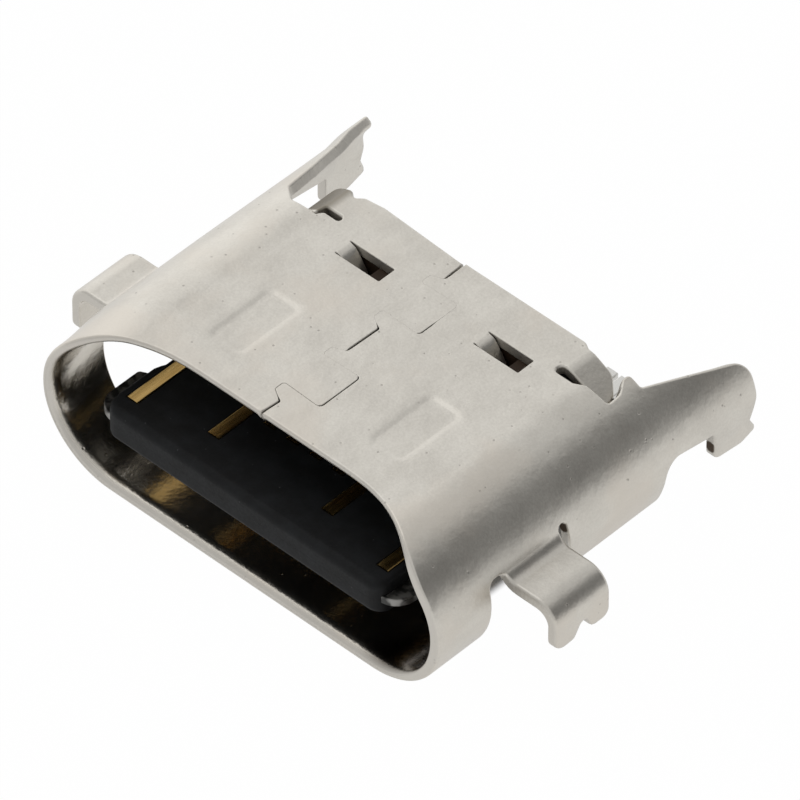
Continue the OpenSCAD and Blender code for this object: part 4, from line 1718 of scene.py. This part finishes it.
@dataclass
class Studio:
    """Pale floor, white room and soft light, with a dark flag at the right."""

    seat: Seat
    floor_size: float = 0.4
    floor_colour: Colour = (0.86, 0.86, 0.855)
    room: float = 0.655
    key: Softbox = Softbox((-0.55, 0.40, 0.75), 38.0, 80.0)
    key_level: float = 0.045
    side: Softbox = Softbox((-0.86, 0.50, 0.05), 15.0, 52.0)
    side_level: float = 0.48
    flag: Softbox = Softbox((0.74, 0.45, 0.50), 12.0, 41.0)
    flag_level: float = 0.75
    shadow_share: float = 0.01
    # White share of the floor in metal, near the part and far out at the left
    mirror_share: Pair = (0.78, 1.0)
    mirror_x: Pair = (-6.0, -12.0)
    # Middle and half size of the floor that the part covers, from the lower lip
    covered: Pair = (0.0, 2.85)
    covered_half: Pair = (3.12, 2.55)
    covered_blur: float = 0.1
    # Soft lamp, up at the left and behind: place and size in metres, and power
    lamp_place: Triple = (-0.10, 0.02, 0.16)
    lamp_size: float = 0.12
    lamp_power: float = 0.02

    def floor(self) -> Piece:
        """White floor that keeps a faint shadow."""
        half = self.floor_size / 2
        mesh = bpy.data.meshes.new("floor")
        corners = [(x * half, y * half, 0) for x, y in ((-1, -1), (1, -1), (1, 1), (-1, 1))]
        mesh.from_pydata(corners, [], [(0, 1, 2, 3)])
        floor = placed("floor", mesh)
        shader, made = Shader.material("floor_white")
        lit = shader.node("ShaderNodeBsdfDiffuse", None, {"Color": (*self.floor_colour, 1.0)})
        white = shader.node("ShaderNodeEmission", None, {"Color": (1.0, 1.0, 1.0, 1.0), "Strength": 1.0})
        share = self._seen(shader) * (1 - self._under(shader))
        both = shader.node("ShaderNodeMixShader", None, {0: share, 1: lit.outputs[0], 2: white.outputs[0]})
        shader.node("ShaderNodeOutputMaterial", None, {0: both.outputs[0]})
        mesh.materials.append(made)
        return floor

    def _seen(self, shader: Shader) -> Value:
        """White share of the floor: nearly all straight on or through glass, part of it in metal."""
        direct, mirrored, through = shader.rays("Camera", "Glossy", "Transmission")
        plain = (direct + through).least(1.0) * (1 - self.shadow_share)
        near, far = self.mirror_share
        left = shader.part(shader.millimetres(), "X").step(*self.mirror_x)
        return (plain + mirrored * (left * (far - near) + near)).least(1.0)

    def _under(self, shader: Shader) -> Value:
        """1 on the shaded floor beneath the part, 0 round it."""
        place = shader.millimetres()
        across = shader.part(place, "X").off(self.covered[0])
        along = shader.part(place, "Y").off(self.covered[1] + self.seat.lip_y / MM)
        (half_x, half_y), blur = self.covered_half, self.covered_blur
        return across.step(half_x + blur, half_x - blur) * along.step(half_y + blur, half_y - blur)

    @staticmethod
    def _patch(shader: Shader, direction: Socket, box: Softbox) -> Value:
        """1 within a patch of the room, falling to 0 at its outer angle."""
        towards = tuple(Vector(box.towards).normalized())
        dot = shader.node("ShaderNodeVectorMath", {"operation": "DOT_PRODUCT"}, {0: direction, 1: towards})
        cosine = Value(shader, dot.outputs["Value"])
        return cosine.step(math.cos(math.radians(box.outer)), math.cos(math.radians(box.inner)))

    def world(self) -> None:
        """White room: plain to the camera, brighter at the key and darker at the flag in the metal."""
        world = bpy.data.worlds.new("studio")
        bpy.context.scene.world = world
        shader = Shader(world)
        direction = shader.node("ShaderNodeTexCoord").outputs["Generated"]
        direct, through = shader.rays("Camera", "Transmission")
        white = (direct + through).least(1.0)
        key = self._patch(shader, direction, self.key)
        side = self._patch(shader, direction, self.side)
        flag = self._patch(shader, direction, self.flag)
        level = (self.room + key * self.key_level + side * self.side_level) * (1 - flag * self.flag_level)
        seen = level + white * (1 - level)
        back = shader.node("ShaderNodeBackground", None, {"Color": seen, "Strength": 1.0})
        shader.node("ShaderNodeOutputWorld", None, {0: back.outputs[0]})

    def lamp(self) -> None:
        """One large soft lamp that looks at the part."""
        data = bpy.data.lights.new("soft_lamp", "AREA")
        data.shape = "DISK"
        data.size = self.lamp_size
        data.energy = self.lamp_power
        lamp = placed("soft_lamp", data)
        lamp.location = Vector(self.lamp_place)
        lamp.rotation_euler = (-lamp.location).to_track_quat("-Z", "Y").to_euler()


@dataclass(frozen=True)
class PhotoCamera:
    """Camera at the photograph's place, fitted to the shell's edges.

    Attributes:
        azimuth: Angle round the part from the mouth's axis, degrees.
        elevation: Angle above the floor, degrees.
        distance: Distance from the middle of the mouth, mm.
        scale: Pixels to the mm at that distance.
        mouth_px: Pixel of the middle of the mouth.
        image_px: Width and height of the image.
        sensor: Width of the sensor, mm.
        clip_start: Nearest distance that is drawn, metres.
    """

    azimuth: float = 44.459
    elevation: float = 44.826
    distance: float = 208.333
    scale: float = 63.153
    mouth_px: Pair = (236.58, 510.85)
    image_px: int = 800
    sensor: float = 36.0
    clip_start: float = 0.01

    def build(self, seat: Seat) -> Piece:
        """Makes the camera and sets it as the scene's.

        Args:
            seat: Gives the place of the mouth.

        Returns:
            The camera.
        """
        around, above = math.radians(self.azimuth), math.radians(self.elevation)
        level = math.cos(above)
        axis = Vector((math.sin(around) * level, -math.cos(around) * level, math.sin(above)))
        right = Vector((math.cos(around), math.sin(around), 0))
        up = axis.cross(right)
        mouth = Vector(seat.place(np.zeros(3)))
        middle = self.image_px / 2
        across, down = middle - self.mouth_px[0], middle - self.mouth_px[1]
        aim = mouth + (right * across - up * down) * (MM / self.scale)
        data = bpy.data.cameras.new("photo_camera")
        data.sensor_width = self.sensor
        data.lens = self.scale * self.distance / self.image_px * self.sensor
        data.clip_start = self.clip_start
        camera = placed("photo_camera", data)
        camera.location = mouth + axis * self.distance * MM
        camera.rotation_euler = (aim - camera.location).to_track_quat("-Z", "Y").to_euler()
        bpy.context.scene.camera = camera
        return camera


def report(piece: Piece) -> None:
    """Logs a finished piece and how many faces it has."""
    LOG.info("%s: %d faces", piece.name, len(piece.data.polygons))


def main() -> None:
    """Builds the camera, the pieces and the studio in order."""
    logging.basicConfig(level=logging.INFO, format="%(name)s: %(message)s")
    bpy.context.scene.view_settings.view_transform = "Standard"
    seat = Seat.from_box(*CAD_BOX)
    PhotoCamera().build(seat)

    shell = Shell(seat)
    sheet = shell.build()
    shell.dress(sheet)
    report(sheet)

    moulding = MouldingFinish(seat).material()
    sizes = ContactSizes()
    tongue = Tongue(seat, sizes)
    pieces = tongue.build()
    tongue.dress(pieces, moulding)
    base = Base(seat)
    block = base.build()
    base.dress(block, moulding)

    tree = ContactRow.sweep_tree()
    gold = ContactFinish(seat).material()
    rows = [ContactRow(seat, sizes, row).build(tree, gold) for row in Row]
    for piece in (*pieces, block, *rows):
        report(piece)

    studio = Studio(seat)
    studio.floor()
    studio.world()
    studio.lamp()


if __name__ == "__main__":
    main()
